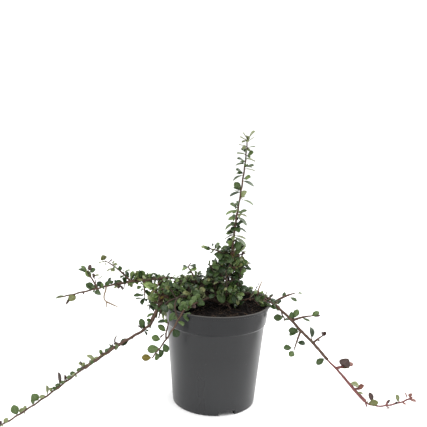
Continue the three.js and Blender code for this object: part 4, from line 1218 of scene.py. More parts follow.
# Leaves that are set one by one on the open shoots, in pixels of the photograph: x and y of the
# blade's foot, of its tip, its width, its tone's first letter and, where the stalk is long, x and
# y of the place that bears it. A bar or a new line parts the leaves. A line with # names the mass
# and the carrier of those that follow.
OPEN_LEAVES = """
#upright 0
248 137 243 133.3 1 P|248 137 254.2 132 1.3 P|247.5 140 240.2 137 1 P|248 142 254 137 1 P
247 146 239.5 143.3 1.1 P|247.5 147.5 254.5 147.2 2 M|245.8 153 241.3 149.3 2.4 G
245.5 154 237 153.5 1.5 M|246.5 156 252.6 152.8 3.8 M|246.5 158.5 255.7 160.2 1.3 P
245.5 160.5 237.6 158.6 2.8 G|245 161.5 240 160.5 2.4 M|245 163.5 235 164.8 1.1 G
246 167 253 166 3 G|246 168.5 255.5 170 1 P|244.3 172.5 236.3 169.8 2.6 G|244 173.5 234.3 173 2 M
243.5 174.5 232.6 180.2 1.1 D|243.8 178.5 250 177.3 3.8 F|243.5 180.5 254.7 185.9 2.9 G
240.5 190 234.5 182 6 M|240.5 190.5 233.5 188 1.6 G|240.2 190.8 229.3 196 1.8 D
241 198 246 191.8 5 P|243 198.5 254 204.8 1.8 M 240.5 198|238.3 207 236.8 201.5 3.4 G
238.2 208 230.3 203.8 2.8 M|238.5 209.5 225.2 214.7 2.6 F|239 213.5 246.5 210.6 2.6 M
238.5 213.8 246.7 216 0.9 P|238 216 247.6 224.8 2.7 G|237.5 216 231.8 215.8 3.2 G
237 218 227.8 219 3.6 F|236.5 221.5 224.8 229.2 2.6 M|236 222 231 225.5 4.6 D
235.8 226 231.5 230.5 4.4 D|236 226 239 232 4.8 G|237 224.8 242.2 222.1 2.5 D
236 226.5 247.9 231.9 1.2 D|234.5 229.5 226.6 230.4 1.6 D|234 232 225.8 233 3.6 M
233.5 234 224.3 238.5 1.5 D|235 235 246.8 239.2 2.1 P|235 236 246.7 245.8 3 M
233 239 225.2 242.3 4.6 D|233 246 228.2 240.8 5 F|234 246 238.8 241.8 4 G|234.5 249 240.8 244.8 5 G
233 251 226.8 247.2 2.4 D|234 252 240.5 250.5 5.2 M|233 255 240.5 258.5 4.6 G|233 262 244 266 6.5 M
234 258 241 262.5 5 Y|234 266 241.5 271 5.5 G|231 258 224 262 4.5 G|231 262 226 268 5 D
#upright 1
209 247.5 204.6 246.8 3.4 M|211 246.8 213.8 243.8 1.8 D|214 247.5 219.2 243.2 3.6 M
219 249.5 220 258.6 6.2 G|224 250 229.5 247 2 D|226 252 224 248.5 2 G|223 251.5 229 256.5 3.4 G
215 248 212.5 252 1.6 M|227 254 228 260 4.5 G|206.5 247 203.8 248.4 1.4 P
#upright 2
242 256 247.6 251.3 1.3 P|241 257.5 244 252.3 1.5 B|239 258.5 245 261 3.6 M
#left_inner 0
131 281 130.5 284 3.4 F 131.5 281|130.5 280 134 273.8 2.2 D|130.5 279.5 132.6 272 1.6 G
132.5 279.5 137.8 275.2 2.4 M|140.5 279 139.8 269.6 3.2 D|146 277 147.2 271.8 2.2 G
148.5 277 154.3 272.1 1.9 G|152 278 150.5 274.2 1.6 M|142 281 155 288.8 6.4 L|147 281 152 284 5 M
127.5 282.5 123 277.8 3.8 D|127 283.5 132.7 287 3.2 P|124 283.5 114.8 281.3 2.8 G
120 285 123.8 288.8 1.2 B|126.5 284 123 288.8 1.2 B|121 284.5 113.5 288.3 3 P
136 281.5 131 283.5 2 M|150 280 157.5 276.5 2.2 G|155 279 160.5 274.5 2.4 M|158 280 163 283.5 4.5 G
#left_inner 1
105.3 261.5 103.8 255.3 6 O|105.3 262.2 99.3 262.5 1 P|107 262.3 112.3 259.6 1.5 B
112 266 117.3 264.6 1.5 P|113 268 111.8 271 3.4 P|113 269 107.3 271.4 1.7 P
120.5 271.5 119.6 265.5 3.8 G|123 271.5 130.4 269.2 1.6 M|129 278 126 270.8 3.2 D
128.5 278 123 278.8 4 D|123.5 275 121 277.6 2.2 G|117 270 114.5 266.3 1.4 M
#left_inner 3
141.5 286 136 288.8 3.4 M|142.5 290 148 292.8 2.4 D|142.5 294.8 133.4 295 2.5 G
143 299 136 298.2 1 G|143.5 296.5 142.3 303.8 3.6 D|144 298 146.8 301.6 2.4 G
141.5 285 146.5 287.5 3.4 M|142 288 139.5 291.5 2 M|143 291 151 296 4.2 F
#left_outer 0
67 295.7 55.8 297.8 1.5 M|75.8 293.4 71.5 300 7 O|70.5 295.5 65.2 304.8 1.5 B
82 292.2 84 294.8 0.9 B|95.5 288.3 85.7 283.6 5.4 G|94 287.5 86.5 282.6 1.6 D
98.3 288.8 97 296.3 6.4 G|103.5 287 96.8 282 5 D|107 286.5 110.6 277.2 2.9 D
103.5 286.5 109.5 281.3 4.2 G|112.5 285.5 110.5 280.2 4.4 G|100 288 104.5 283.3 3.6 M
114 285.5 117 280.3 3 D|92 289.5 97 284.5 4 M
#left_outer 1
91 278.5 85.8 270.3 4.8 F|87 270.5 81.3 265.2 2.3 M|86.5 270.8 77.8 268.6 2.3 G
87 269.5 87.8 265 1.1 B|88.5 270.5 91.8 264.6 4 B|89.5 271 96.2 268.6 4.4 G|92 276 99.5 274.6 1 P
#left_lobe 0
152.8 311 156.3 303.3 4 G|153 312.5 148.6 305.5 1.9 D|153 311.5 146.8 317 1.5 M
156.5 306 156 318.2 2.4 M|151 322 147.2 319.2 3.2 M|151 321 147.6 328.6 4.8 G|157 302 151 303 4.6 G
158 300 150.5 298 4.8 F|158 304 162 309.5 5.6 G|157 299 154 293.5 4.6 M|158.5 301 164 304 5 D
#lower_left_inner 0
143.3 328.5 140.3 318.6 5.8 G|142.5 329 136.8 325.3 0.9 B|144 330 147.2 334.6 1.3 D
146 327.5 143.5 325 1.8 D|130 339.3 120.3 344.7 5.8 D|134.8 337.3 131.5 340.8 1.6 D
121 344.8 115.3 349.9 2.6 P|121 344 113.3 343.5 1.6 B|116 347 106.8 351.8 4 G
112 349 109.3 344.3 1.6 G|107.5 352.5 101.3 354.6 2.6 Y|101 356 99.6 349.8 2.6 M
101 356.3 95 358 2.2 P|95 359.5 86.6 354.7 1.3 P|96 359.5 91 358.2 3.8 P|92.5 362 86.8 364.2 3.6 M
90 364 85 366.3 3 P|85 367.5 83.3 361.8 2.2 P|80 370.5 78 362.3 1.5 P|85 367.8 78.5 368.8 2 B
82 369.5 76 370.8 3 M|114 348 118.5 345.5 2.2 M|104 354 107 348.5 2.6 G|89 365 94 361 2.6 G
99 358 103.5 353 2 B
#lower_left_outer 0
76.5 372.5 69.3 373.4 3.6 G|73 375.5 66.6 377.6 3 M|64.5 381.5 65.4 374.2 1.2 B
67 380 60.3 381.7 2 M|59.5 384 58.4 371.8 1.6 B|59.8 383 54.6 385.2 2.7 G|61 383.5 55.8 388.3 3.8 P
57.5 387.5 53 387.7 2.6 G|47 395 47 385 1.4 P|46.5 395 39.8 396.7 1.8 P|38.8 401 33.6 392.9 7.4 M
27.5 409.3 19 410.8 4.6 P|26 410.5 18 415.7 2.4 P|27 409.5 24.3 405.8 3 P|17 416 13.4 404.8 7.6 M
4 425.3 7.6 418.2 4.2 P|2.5 426 0 420.3 2.4 B|71 378 75 373 2 P|52 391.5 50.5 387 2 P
33 405 30.5 400.5 2 M|-2 428 -4.5 422 4 M|-4 430 -10 432 3 G
#front_left 0
182.5 316 191.2 318.8 8 G 181 315|175.8 327 178.2 337.3 7 D 173.5 328
160.8 337.5 151.8 336.6 5.6 M 162.5 339.5|158.3 348.5 146.6 350 7.8 M 160 348.5
150.5 359.3 141.6 357 6.2 Y 153 359.5|160.3 349.5 162 358 4.9 G|163.3 342.8 167.5 352.2 6.2 G
158.3 353 157 361.3 4.2 M|192.5 303.5 194.8 295.6 4.6 M|199 298.5 204.9 304.2 3.8 G 196 302
190.8 305 195.8 306.6 3.2 B|187 309 179 306.5 6 G|186 308 181.5 301.5 5.6 M|198 300 191 297 4.5 M
184 311 187.5 306 3.2 G|178 320.5 183.5 324.5 3 M|200 300 197 293.5 4.6 M|193 304 186 302 4.6 G
178 319 172.5 317 4 M
#right_upper 0
273.5 305.5 280.3 311.2 4.4 M|273.5 304.5 279.8 302 3.4 M|296 318.5 298.3 309.6 5.4 M 293.5 321
295 319 291 311.6 5.6 G 293 321|297.5 332.5 288.2 330.8 6 G 299.5 330
297 335.5 289 334.6 1.8 G 299.8 332|314.3 338.3 311.8 327.2 5.4 D 313.5 342
324.3 358.7 316.2 364.2 5 G|277 307.5 270.5 306.5 4.4 G|276.5 306.5 271.5 301.5 3.6 G
#right_upper 1
288 298.8 282.8 293.7 4.2 G|289 300.4 296.3 300.9 2.6 G|299 294.5 303.2 293.3 2.4 M
281.5 303.3 276.5 300.5 1.4 G
#right_upper 2
311 315.3 319 311.5 4.2 M|303 319.2 309.3 320.3 2.4 G|315 315.8 319.5 315 1.2 B
#right_upper 3
298 342.5 304.3 343.4 3.4 D|291.8 346.9 283.2 347.4 4.4 G 294 347|292 350.3 289.3 355.4 5.6 M
#right_upper 4
318 339 319.5 342.3 3 B|321.3 336.8 322.3 331.8 1.8 B|321.5 336.8 325.6 331.6 3.2 B
#right_middle 0
352 380.3 360 386.2 3.6 P 348.5 382.5|360 390.3 362.8 384.2 3.2 R 355 390.5|355.5 389 360 389 1 R
356.5 391.5 362 392.7 1.2 P
#right_middle 1
341.2 367 346.4 357.2 10.4 B|338.5 367.8 349.3 367.2 1.8 Y|349 366 354.3 363.6 3.4 R
#right_tip 0
375 400.8 370.2 392.7 5 B 374 405|368 403.5 378.5 402 5.2 O|387 402.8 390.3 400.2 1.7 B 386.5 405.5
385.5 406 390 409.2 1.3 R|400 400.5 396.2 394.2 4.2 P 400 403|402 402.5 405 403.5 1.2 R
409 399.8 404.8 392.2 2.2 R 407 400.5|410 399.3 412.8 394 2.2 R|409.5 400 415.3 400.3 2.2 R
394 404.5 397 401.5 1.2 B
#upright 3
241.5 263 250.8 263.3 1.5 D|241 263.5 250.8 268 2.2 D|239 263.5 238 268 3.5 G
#left_outer 4
95 281.5 102.8 275.5 1.4 P|95.3 280 94 273.6 1 B
#right_upper 5
283 318 273.3 317.6 6.4 G|284.5 320.5 290.5 319.5 2 G
#front_left 2
168.5 321.5 174.8 312.4 5.2 G|168 322 157 322 2 D|166.2 331.5 158 324.9 5 M|168 324 165 319.2 2.4 M
166.5 332.5 161 336.5 1.2 B
#left_top 2
188.2 267.6 181 269.8 3.8 F|188.2 266.6 183.4 265.6 2 D|190.2 268.6 196.8 268.6 3.6 F
190 266 195.6 265.2 1.8 D|191.8 272.8 186.2 272.4 2.8 G|194 277 197.2 271.4 2.8 M
#left_top 1
196.9 275 202.6 272.6 2.4 M|197.6 277 206.6 276.8 2.4 D
"""

# Leaves of the dense crown, in the same way. Each sits on the stem or twig that is seen nearest.
# Low in the crown their tone letters are a step darker than the leaves' own, as painted shade
CROWN_LEAVES = """
211.5 247.5 205 247.8 3.2 M|215 247.5 218 243.5 1.8 D|216 249 220.5 246 3 M
218.5 249.5 217 258 6.8 G|226 253.5 220.5 250.5 1.6 D|226 253.5 221 254 1.3 D
226.5 250.5 230 248 1.3 D|227 252 230.5 250 1.6 D|236 251 241 242.5 5.5 G|238 240 246.5 246 2.6 P
239 249 236 254.8 5.5 M|230 253 229 262 7 G|226 255 220.5 262 3 G|225 260.5 219.5 263 3.5 D
214.5 261.5 207.3 264 1.5 D|215.5 264.5 208.5 270.5 1.9 D|214.5 268 209.5 275 5 D
220 264 224 275 7.5 D|233 266 239 259.5 4 M|240 265 247 260.5 4.5 G|233 269 240 265.5 3.5 M
240.5 263.5 245.5 272.5 6 D|238 268 241.5 274 4 G|232 271 239.5 275 3.5 G
234 275.5 240.5 276.3 2.6 D|231 271 231.5 281 3.6 D|226 273 226 281 4 G|222 272 222.5 277 3.6 B
234 279 238 285 5 D|238.5 279.5 242.5 285 3.8 D|234 282 232 289.5 6 G|236.5 283 240.5 291 3 D
222.5 280 222 289 5 D|224.5 281 225 288 1.5 M|247.5 263.5 252 263 1.3 D|246 264.5 251.5 269 2.2 D
207.5 276.5 198 275.5 1.9 D|209.5 278 206 277.5 1.8 D|203.5 280.5 203.5 278.5 2 D
208 281 200 285 4 D|214 280 208 286 4 D|216 294.5 225 302.5 6 G|215 294 209 297.5 4 D
222 291 221 298.5 4 D|225 294 228 300 4 D|233 292 235 303 6 D|240 293 240.5 299 3 M
239 300 242.5 302 3 D|234 301 235.5 307.5 2.6 G|203 284 196.5 288.5 4 D|196 290 200 295 4.6 G
204 284 210.5 287.5 3.5 D|198.5 275 201 270 2 G|162 292 162 297.5 4.4 Y|161 303 168 311 6 D
149 305 148.5 311 1.8 D|160 279 154 273 1.5 D|166 279 171 272.5 1.3 D|172 280 167 276 1.5 G
178 281 172 276.5 1.8 G|171 281 176 287 5 M|163 281 162 291 5 M|151 292 151.5 301 4.5 F
154 284 147 286.5 4 F|167 295 176 300 6 G|165 300 174 303 4 D|186 276.5 180.5 275 3 M
193 277 187 279 3 D|191 280 186 286.5 6 D|184 283 181 277.5 4 M|194 279 199 285 4 D
196 277 199.5 283 3 D|203 288.5 197 287 3 G|191 291 200 294 5 G|170 288 166 293 5 D
158 284 155 289 3 F|178 288 178 293 4 G|187 289 193 287 3.2 D|170 292 176 296 5 G
157 297 156 302 3 G|153 283 157 288 3.4 F|157 281 161 286.5 3.2 O|162 280 166 285.5 3.4 M
166 283 171 287 3.2 F|170 282 176 284.5 3.2 M|175 284 180 288 3.6 G|180 280 176 285 3 M
156 289 152 293 3 O|159 287 163 291 3.4 F|164 288 169 291.5 3.4 M|172 287 174 292 3.6 G
177 288 182 291 3.4 M|183 286 188 290 3.6 G|160 293 155 297 3.2 F|165 293 161 298 3.4 M
170 290 166 287 3 O|174 277.5 179 280 3 F|168 277 163 280 2.8 M|181 283 186 279 3 M
158 278.5 153 280.5 2.4 M|187 282 191 277 3 M|152 287 148 290 3 M|180 292 184 297 4 G
186 292 190 297 4 M|173 295 178 299 4 G|167 299 172 303 4 G|176 301 181 305 4.4 D
183 299 188 303 4 D|243 259 247 264 3.4 O|236 262 242 264 3.2 O|239 272 245 270 3.2 M
213 263 218 267 3.4 G|218 270 214 276 3.6 G|229 263 225 268 3.6 M|228 286 231 292 4 G
218 284 214 290 3.6 G|163 300 160 308 4.5 D|168 303 174 309 5 M|172 300 178 304 4 D
176 303 183 308 5 M|182 300 189 304 4.4 G|186 303 193 300 3.6 M|170 308 176 312 4 D
178 296 184 299 3.6 F|165 296 170 300 4 M|188 296 194 299 3.6 G|158 306 162 313 4.5 G
174 309 168 313 4 G|249 289.5 243.8 287.8 1.6 D|250.5 288.5 253.5 294 3.8 D
255 292.5 260 295.5 2.6 D|260.5 295.5 256.5 301.5 4.8 G|259 300 264 296 3.5 G
264 300 267 306.5 3.4 G|268 303 270.5 309.3 5 G|269 298 273.3 294 1.9 D|271 300 276.5 304.5 2 M
270 299.5 277 301 1.8 D|277 301.5 281 300.5 1.5 D|254 297 258.7 293.7 3 G|245 302 240.5 304 2.4 D
"""

# The masses whose stems and twigs bear the crown's leaves
CROWN_MASSES = (
    "foliage_foot_left", "foliage_foot_right", "foliage_crown_front", "foliage_left_top",
    "foliage_left_front", "foliage_upright", "foliage_right_tuft", "foliage_left_inner",
    "foliage_left_lobe", "foliage_front_left",
)


# ---- the photograph's places ----


@dataclass(frozen=True)
class View:
    """The photograph's line of sight. Its places are in pixels from the top left corner."""

    pitch: float = 0.151
    yaw: float = -0.009
    roll: float = 0.031
    eye: Triple = (0.0, -750.0, 345.0)
    focal: float = 640.0
    frame: float = 427.0

    def axes(self) -> tuple[np.ndarray, np.ndarray, np.ndarray]:
        """The directions to the right, over the top and ahead.

        Returns:
            Ahead is +Y turned by the yaw and dipped by the pitch. The other two are the level
            right and what is square to both, turned about ahead by the roll.
        """
        dip, turn = math.cos(self.pitch), self.yaw
        ahead = np.array([math.sin(turn) * dip, math.cos(turn) * dip, -math.sin(self.pitch)])
        right = np.array([math.cos(turn), -math.sin(turn), 0.0])
        over = np.cross(right, ahead)
        c, s = math.cos(self.roll), math.sin(self.roll)
        return c * right + s * over, -s * right + c * over, ahead

    def seen(self, points: np.ndarray) -> tuple[np.ndarray, np.ndarray]:
        """Where points are seen.

        Args:
            points: rows of points in millimetres.

        Returns:
            Their places, the focal length times the offset over the depth from the picture's
            middle, and their depths.
        """
        right, over, ahead = self.axes()
        sight = points - np.array(self.eye)
        depth = sight @ ahead
        x = self.frame / 2 + self.focal * (sight @ right) / depth
        y = self.frame / 2 - self.focal * (sight @ over) / depth
        return np.stack([x, y], axis=-1), depth

    def laid(self, place: Sequence[float], depth: float) -> np.ndarray:
        """The point at a depth that is seen at a place."""
        right, over, ahead = self.axes()
        x, y = (np.array(place) - self.frame / 2) / self.focal * depth
        return np.array(self.eye) + ahead * depth + right * x - over * y

    def nearest(self, route: Route, place: Sequence[float],
                steps: int) -> tuple[float, np.ndarray, float]:
        """Where a line is seen nearest to a place.

        Args:
            route: the line.
            place: the place.
            steps: how many points of the line are tried.

        Returns:
            The share of the line's length, the point and its depth.
        """
        shares = np.linspace(0, 1, steps)
        points = route.at(shares)
        places, depth = self.seen(points)
        i = int(np.argmin(np.hypot(*(places - np.array(place)).T)))
        return float(shares[i]), points[i], float(depth[i])


VIEW = View()


def rounded(value: float, digits: int = 1) -> float:
    """A length to a tenth of a millimetre, or to other digits, never minus nought."""
    return round(float(value), digits) + 0.0


@dataclass(frozen=True)
class LeafRow:
    """A set leaf on its carrier in millimetres: run along it, x and z from there to the tip, width.

    blade is its own length where the stalk is long, or 0.
    """

    run: float
    x: float
    z: float
    width: float
    tone: int
    blade: float


@dataclass(frozen=True)
class SeenLeaf:
    """A leaf as the photograph shows it: foot, tip and width in pixels, tone and what bears it."""

    LONG_STALK = 1.9

    foot: tuple[float, float]
    tip: tuple[float, float]
    width: float
    tone: int
    node: tuple[float, float]

    @classmethod
    def rows(cls, text: str) -> list["SeenLeaf"]:
        """The leaves of a table's text."""
        leaves = []
        for cells in map(str.split, text.strip().replace("\n", "|").split("|")):
            x, y, tip_x, tip_y, width = map(float, cells[:5])
            node = tuple(map(float, cells[6:])) or (x, y)
            leaves.append(cls((x, y), (tip_x, tip_y), width, LETTERS[cells[5]], node))
        return leaves

    @classmethod
    def by_carrier(cls, text: str) -> dict[tuple[str, int], list["SeenLeaf"]]:
        """The leaves of a table that names their masses and carriers."""
        found = {}
        for block in text.split("#")[1:]:
            head, _, rows = block.partition("\n")
            name, number = head.split()
            found[f"foliage_{name}", int(number)] = cls.rows(rows)
        return found

    def measured(self, route: Route, share: float, depth: float) -> LeafRow:
        """The leaf in millimetres.

        Args:
            route: the carrier's line.
            share: the share of its length at which the leaf sits.
            depth: the depth of that point.

        Returns:
            The row, with foot and tip laid at the point's depth.
        """
        tip, foot = VIEW.laid(self.tip, depth), VIEW.laid(self.foot, depth)
        x, _, z = tip - route.at(share)[0]
        blade = float(np.linalg.norm(tip - foot))
        own = rounded(blade) if math.hypot(x, z) - blade > self.LONG_STALK else 0.0
        return LeafRow(rounded(share * route.length, 0), rounded(x), rounded(z),
                       rounded(self.width * depth / VIEW.focal), self.tone, own)


@dataclass(frozen=True)
class Carrier:
    """A line that bears set leaves: as grown, its radius, and as drawn by its table."""

    route: Route
    radius: float
    drawn: Route


@dataclass(frozen=True)
class Perch:
    """A stem or twig on which leaves of the crown may sit, with its points as seen.

    low and high are the corners of its mass, which a leaf's tip should keep to within MARGIN.
    """

    BEHIND = 0.05
    PAST = 3.0
    MARGIN = 2.0

    key: tuple[str, int]
    route: Route
    shares: np.ndarray
    low: np.ndarray
    high: np.ndarray

    def __post_init__(self) -> None:
        """Works out where the points are seen."""
        points = self.route.at(self.shares)
        places, depth = VIEW.seen(points)
        for name, value in (("back", points[:, 1]), ("places", places), ("depth", depth)):
            object.__setattr__(self, name, value)

    def fit(self, leaf: SeenLeaf) -> tuple[float, int]:
        """How badly a leaf sits here, and at which point best.

        Args:
            leaf: the leaf.

        Returns:
            The cost: pixels from the leaf's foot to the point, BEHIND for each millimetre that
            the point lies back, and PAST for each by which the tip leaves the mass. And the
            number of the point.
        """
        near = np.hypot(*(self.places - np.array(leaf.foot)).T) + self.BEHIND * self.back
        i = int(np.argmin(near))
        tip = VIEW.laid(leaf.tip, float(self.depth[i]))
        past = max((self.low - tip).max(), (tip - self.high).max()) - self.MARGIN
        return float(near[i]) + self.PAST * max(float(past), 0.0), i


EYE = np.array(VIEW.eye)


def sighted(points: np.ndarray) -> tuple[np.ndarray, np.ndarray]:
    """Where points are seen from EYE.

    Args:
        points: rows of points in millimetres, of any number of axes.

    Returns:
        x and z on the upright plane through the pot's axis, and the points' depths.
    """
    sight = points - EYE
    depth = sight @ AHEAD
    return EYE[[0, 2]] + (sight / depth[..., None] * -EYE[1])[..., [0, 2]], depth


def on_plane(*places: tuple[float, float]) -> np.ndarray:
    """Where places of the photograph lie on that plane, to a tenth of a millimetre."""
    return np.round(sighted(np.array([VIEW.laid(place, -EYE[1]) for place in places]))[0], 1)


# The dense crown's outline in the photograph, inside which the rule sets its leaves
CROWN_OUTLINE = on_plane(
    (96, 430), (96, 272), (118, 274), (128, 268), (140, 268), (150, 272), (160, 273.5),
    (168, 275.5), (177, 276), (181.7, 274.8), (187.7, 274.6), (194.7, 274.8), (197.75, 276.25),
    (200.75, 278.5), (204.7, 277.3), (208, 262), (211, 256.5), (212, 252), (205, 250), (203, 245),
    (214, 242.5), (222, 245.5), (224, 236), (225, 220), (239, 220), (241, 238), (247, 243),
    (246, 250), (244.5, 255), (247, 262), (247.5, 271), (243.5, 276), (243.8, 287), (252, 285.5),
    (256, 290.5), (263, 291), (267, 294.5), (273, 295), (277, 300), (292, 304), (292, 430),
)

# The part of the soil that lies open to the front
OPEN_SOIL = on_plane(
    (190, 314), (190, 308.5), (196, 308), (196.5, 302), (204, 305), (206, 300), (204.5, 292),
    (216, 291.5), (218, 299), (226, 304), (231.5, 305), (234, 309), (238, 308.5), (242, 303),
    (241.5, 297.5), (246, 295), (252, 296.5), (256, 300.5), (259, 306), (262, 311), (262, 319),
    (190, 319),
)


def in_outline(points: np.ndarray, outline: np.ndarray) -> np.ndarray:
    """True for points that are seen inside an outline.

    Args:
        points: rows of points in millimetres, of any number of axes.
        outline: the outline's corners, as x and z on the plane.

    Returns:
        True where a level line from the point's place on the plane meets the outline an odd number
        of times on its way out.
    """
    plane, _ = sighted(points)
    x, z = plane[..., 0, None], plane[..., 1, None]
    (x0, z0), (x1, z1) = outline.T, np.roll(outline, -1, axis=0).T
    spans = (z0 > z) != (z1 > z)
    crossing = x0 + (z - z0) * (x1 - x0) / np.where(z1 == z0, 1e-9, z1 - z0)
    return (spans & (x < crossing)).sum(-1) % 2 == 1


@dataclass
class Twig:
    """A grown twig: its line, its radii at both ends, its mass's name, and its own bark if any."""

    line: np.ndarray
    radii: tuple[float, float]
    owner: str
    bare: bool = False
    wood: Wood | None = None

    @property
    def route(self) -> Route:
        """The twig as a measured line."""
        return Route(self.line)


@dataclass
class LeafBed:
    """Leaves as arrays in millimetres, a row each: root, direction, blade normal, sizes, tone."""

    root: np.ndarray
    along: np.ndarray
    normal: np.ndarray
    length: np.ndarray
    width: np.ndarray
    tone: np.ndarray

    def kept(self, which: np.ndarray) -> "LeafBed":
        """The leaves where which is true."""
        return LeafBed(*(getattr(self, part.name)[which] for part in fields(self)))

    def smaller(self, share: float) -> "LeafBed":
        """The same leaves at a share of their size."""
        return replace(self, length=self.length * share, width=self.width * share)

    @staticmethod
    def joined(beds: Sequence["LeafBed"]) -> "LeafBed":
        """Several beds as one."""
        return LeafBed(*(np.concatenate([getattr(bed, part.name) for bed in beds])
                         for part in fields(LeafBed)))

    def across(self) -> np.ndarray:
        """Each leaf's sideways direction."""
        return unit(np.cross(self.normal, self.along))


def chance(pair: tuple[float, float], rng: np.random.Generator, size: int | None = None) -> Any:
    """A pair's first value and a seeded share of its second, once or for each of size."""
    return pair[0] + pair[1] * rng.random(size)


@dataclass
class Placed:
    """A mass's leaves that are set one by one, their stalks, and the seeded numbers after them."""

    bed: LeafBed
    stalks: np.ndarray
    rng: np.random.Generator


class LeafShape:
    """One leaf's grid, shared by all: u runs from its foot to its tip and v from side to side.

    The blade's half width at u is w(u) = sin(pi u^MIDDLE)^ROUNDNESS, which is broadest past the
    middle and rounded at the tip. A point lies u along the leaf, v w across it, and |v| w fold
    - curl u (u - CREST) above it, plus a low dome (1 - v^2) w on top and the thickness below. Both
    skins meet at the rim. What would reach below the height RESTING is pressed flat on the ground.
    """

    ROWS = np.array([0.14, 0.34, 0.56, 0.76, 0.92])
    COLUMNS = np.array([-1.0, -0.5, 0.0, 0.5, 1.0])
    THICKNESS = 0.34
    DOME = 0.05
    RESTING = 0.7
    FLATTER = 0.86
    MIDDLE = 1.22
    ROUNDNESS = 0.66
    FULL_LENGTH = 9
    CREST = 0.8
    UPPER_SHARE = 0.4

    def __init__(self) -> None:
        """Works out the grid's shares and its faces."""
        rows, columns = len(self.ROWS), len(self.COLUMNS)
        top = np.arange(rows * columns).reshape(rows, columns)
        low = top.copy()
        low[:, 1:-1] = rows * columns + np.arange(rows * (columns - 2)).reshape(rows, columns - 2)
        size = rows * columns + rows * (columns - 2)
        foot, tip = size, size + 1
        inner = columns - 2
        self.u = np.concatenate([np.repeat(self.ROWS, columns), np.repeat(self.ROWS, inner),
                                 [0, 1]])
        self.v = np.concatenate([np.tile(self.COLUMNS, rows), np.tile(self.COLUMNS[1:-1], rows),
                                 [0, 0]])
        self.under = np.repeat([0.0, 1.0, 0.0], [rows * columns, rows * inner, 2])
        self.size = size + 2
        quads, tris = [], []
        for skin, flip in ((top, 1), (low, -1)):
            a, b, c, d = skin[:-1, :-1], skin[:-1, 1:], skin[1:, 1:], skin[1:, :-1]
            quads.append(np.stack([a, d, c, b], axis=-1).reshape(-1, 4)[:, ::flip])
            start = np.stack([np.full(columns - 1, foot), skin[0, :-1], skin[0, 1:]], axis=-1)
            end = np.stack([np.full(columns - 1, tip), skin[-1, 1:], skin[-1, :-1]], axis=-1)
            tris.append(np.concatenate([start, end])[:, ::flip])
        self.quads = np.concatenate(quads)
        self.tris = np.concatenate(tris)
        self.quad_side = np.repeat([0, 1], len(quads[0]))
        self.tri_side = np.repeat([0, 1], len(tris[0]))

    def grown(self, bed: LeafBed, rng: np.random.Generator) -> Patch:
        """All the leaves of a bed as one patch.

        Args:
            bed: where the leaves are and how large.
            rng: the seeded numbers for fold and curl.

        Returns:
            The patch, with finish 2 n on the blades of tone n and 2 n + 1 on their undersides.
        """
        count = len(bed.length)
        u, v = self.u[None], self.v[None]
        half = np.sin(math.pi * self.u**self.MIDDLE) ** self.ROUNDNESS
        half[-2:] = 0
        w = half[None] * bed.width[:, None] / 2
        fold = (0.16 + 0.22 * rng.random(count))[:, None]
        curl = (rng.normal(size=count) * 0.08 + 0.16)[:, None] * bed.length[:, None]
        twist = (rng.random(count)[:, None] - 0.5) * 0.5 * u
        side = v * w
        rise = np.abs(v) * w * fold - curl * u * (u - self.CREST) + twist * side
        dome = (1 - v**2) * w * self.DOME * (1 - self.under)
        grown = np.minimum(1, bed.length / self.FULL_LENGTH)[:, None]
        thick = self.THICKNESS * grown * (1 - v**2) * (half[None] ** 0.5)
        lower, upper = -thick * (1 - self.UPPER_SHARE), thick * self.UPPER_SHARE
        lift = rise + dome + np.where(self.under[None] > 0, lower, upper)
        points = (bed.root[:, None] + bed.along[:, None] * (u * bed.length[:, None])[..., None]
                  + bed.across()[:, None] * side[..., None] + bed.normal[:, None] * lift[..., None])
        points[..., 2] += self.FLATTER * np.maximum(self.RESTING - points[..., 2], 0)
        starts = (np.arange(count) * self.size)[:, None, None]
        uv = np.broadcast_to(np.stack([0.5 + 0.5 * self.v, self.u], axis=-1), (count, self.size, 2))
        return Patch(
            points.reshape(-1, 3),
            (self.quads[None] + starts).reshape(-1, 4), (self.tris[None] + starts).reshape(-1, 3),
            uv.reshape(-1, 2),
            (bed.tone[:, None] * 2 + self.quad_side).ravel(),
            (bed.tone[:, None] * 2 + self.tri_side).ravel(),
        )


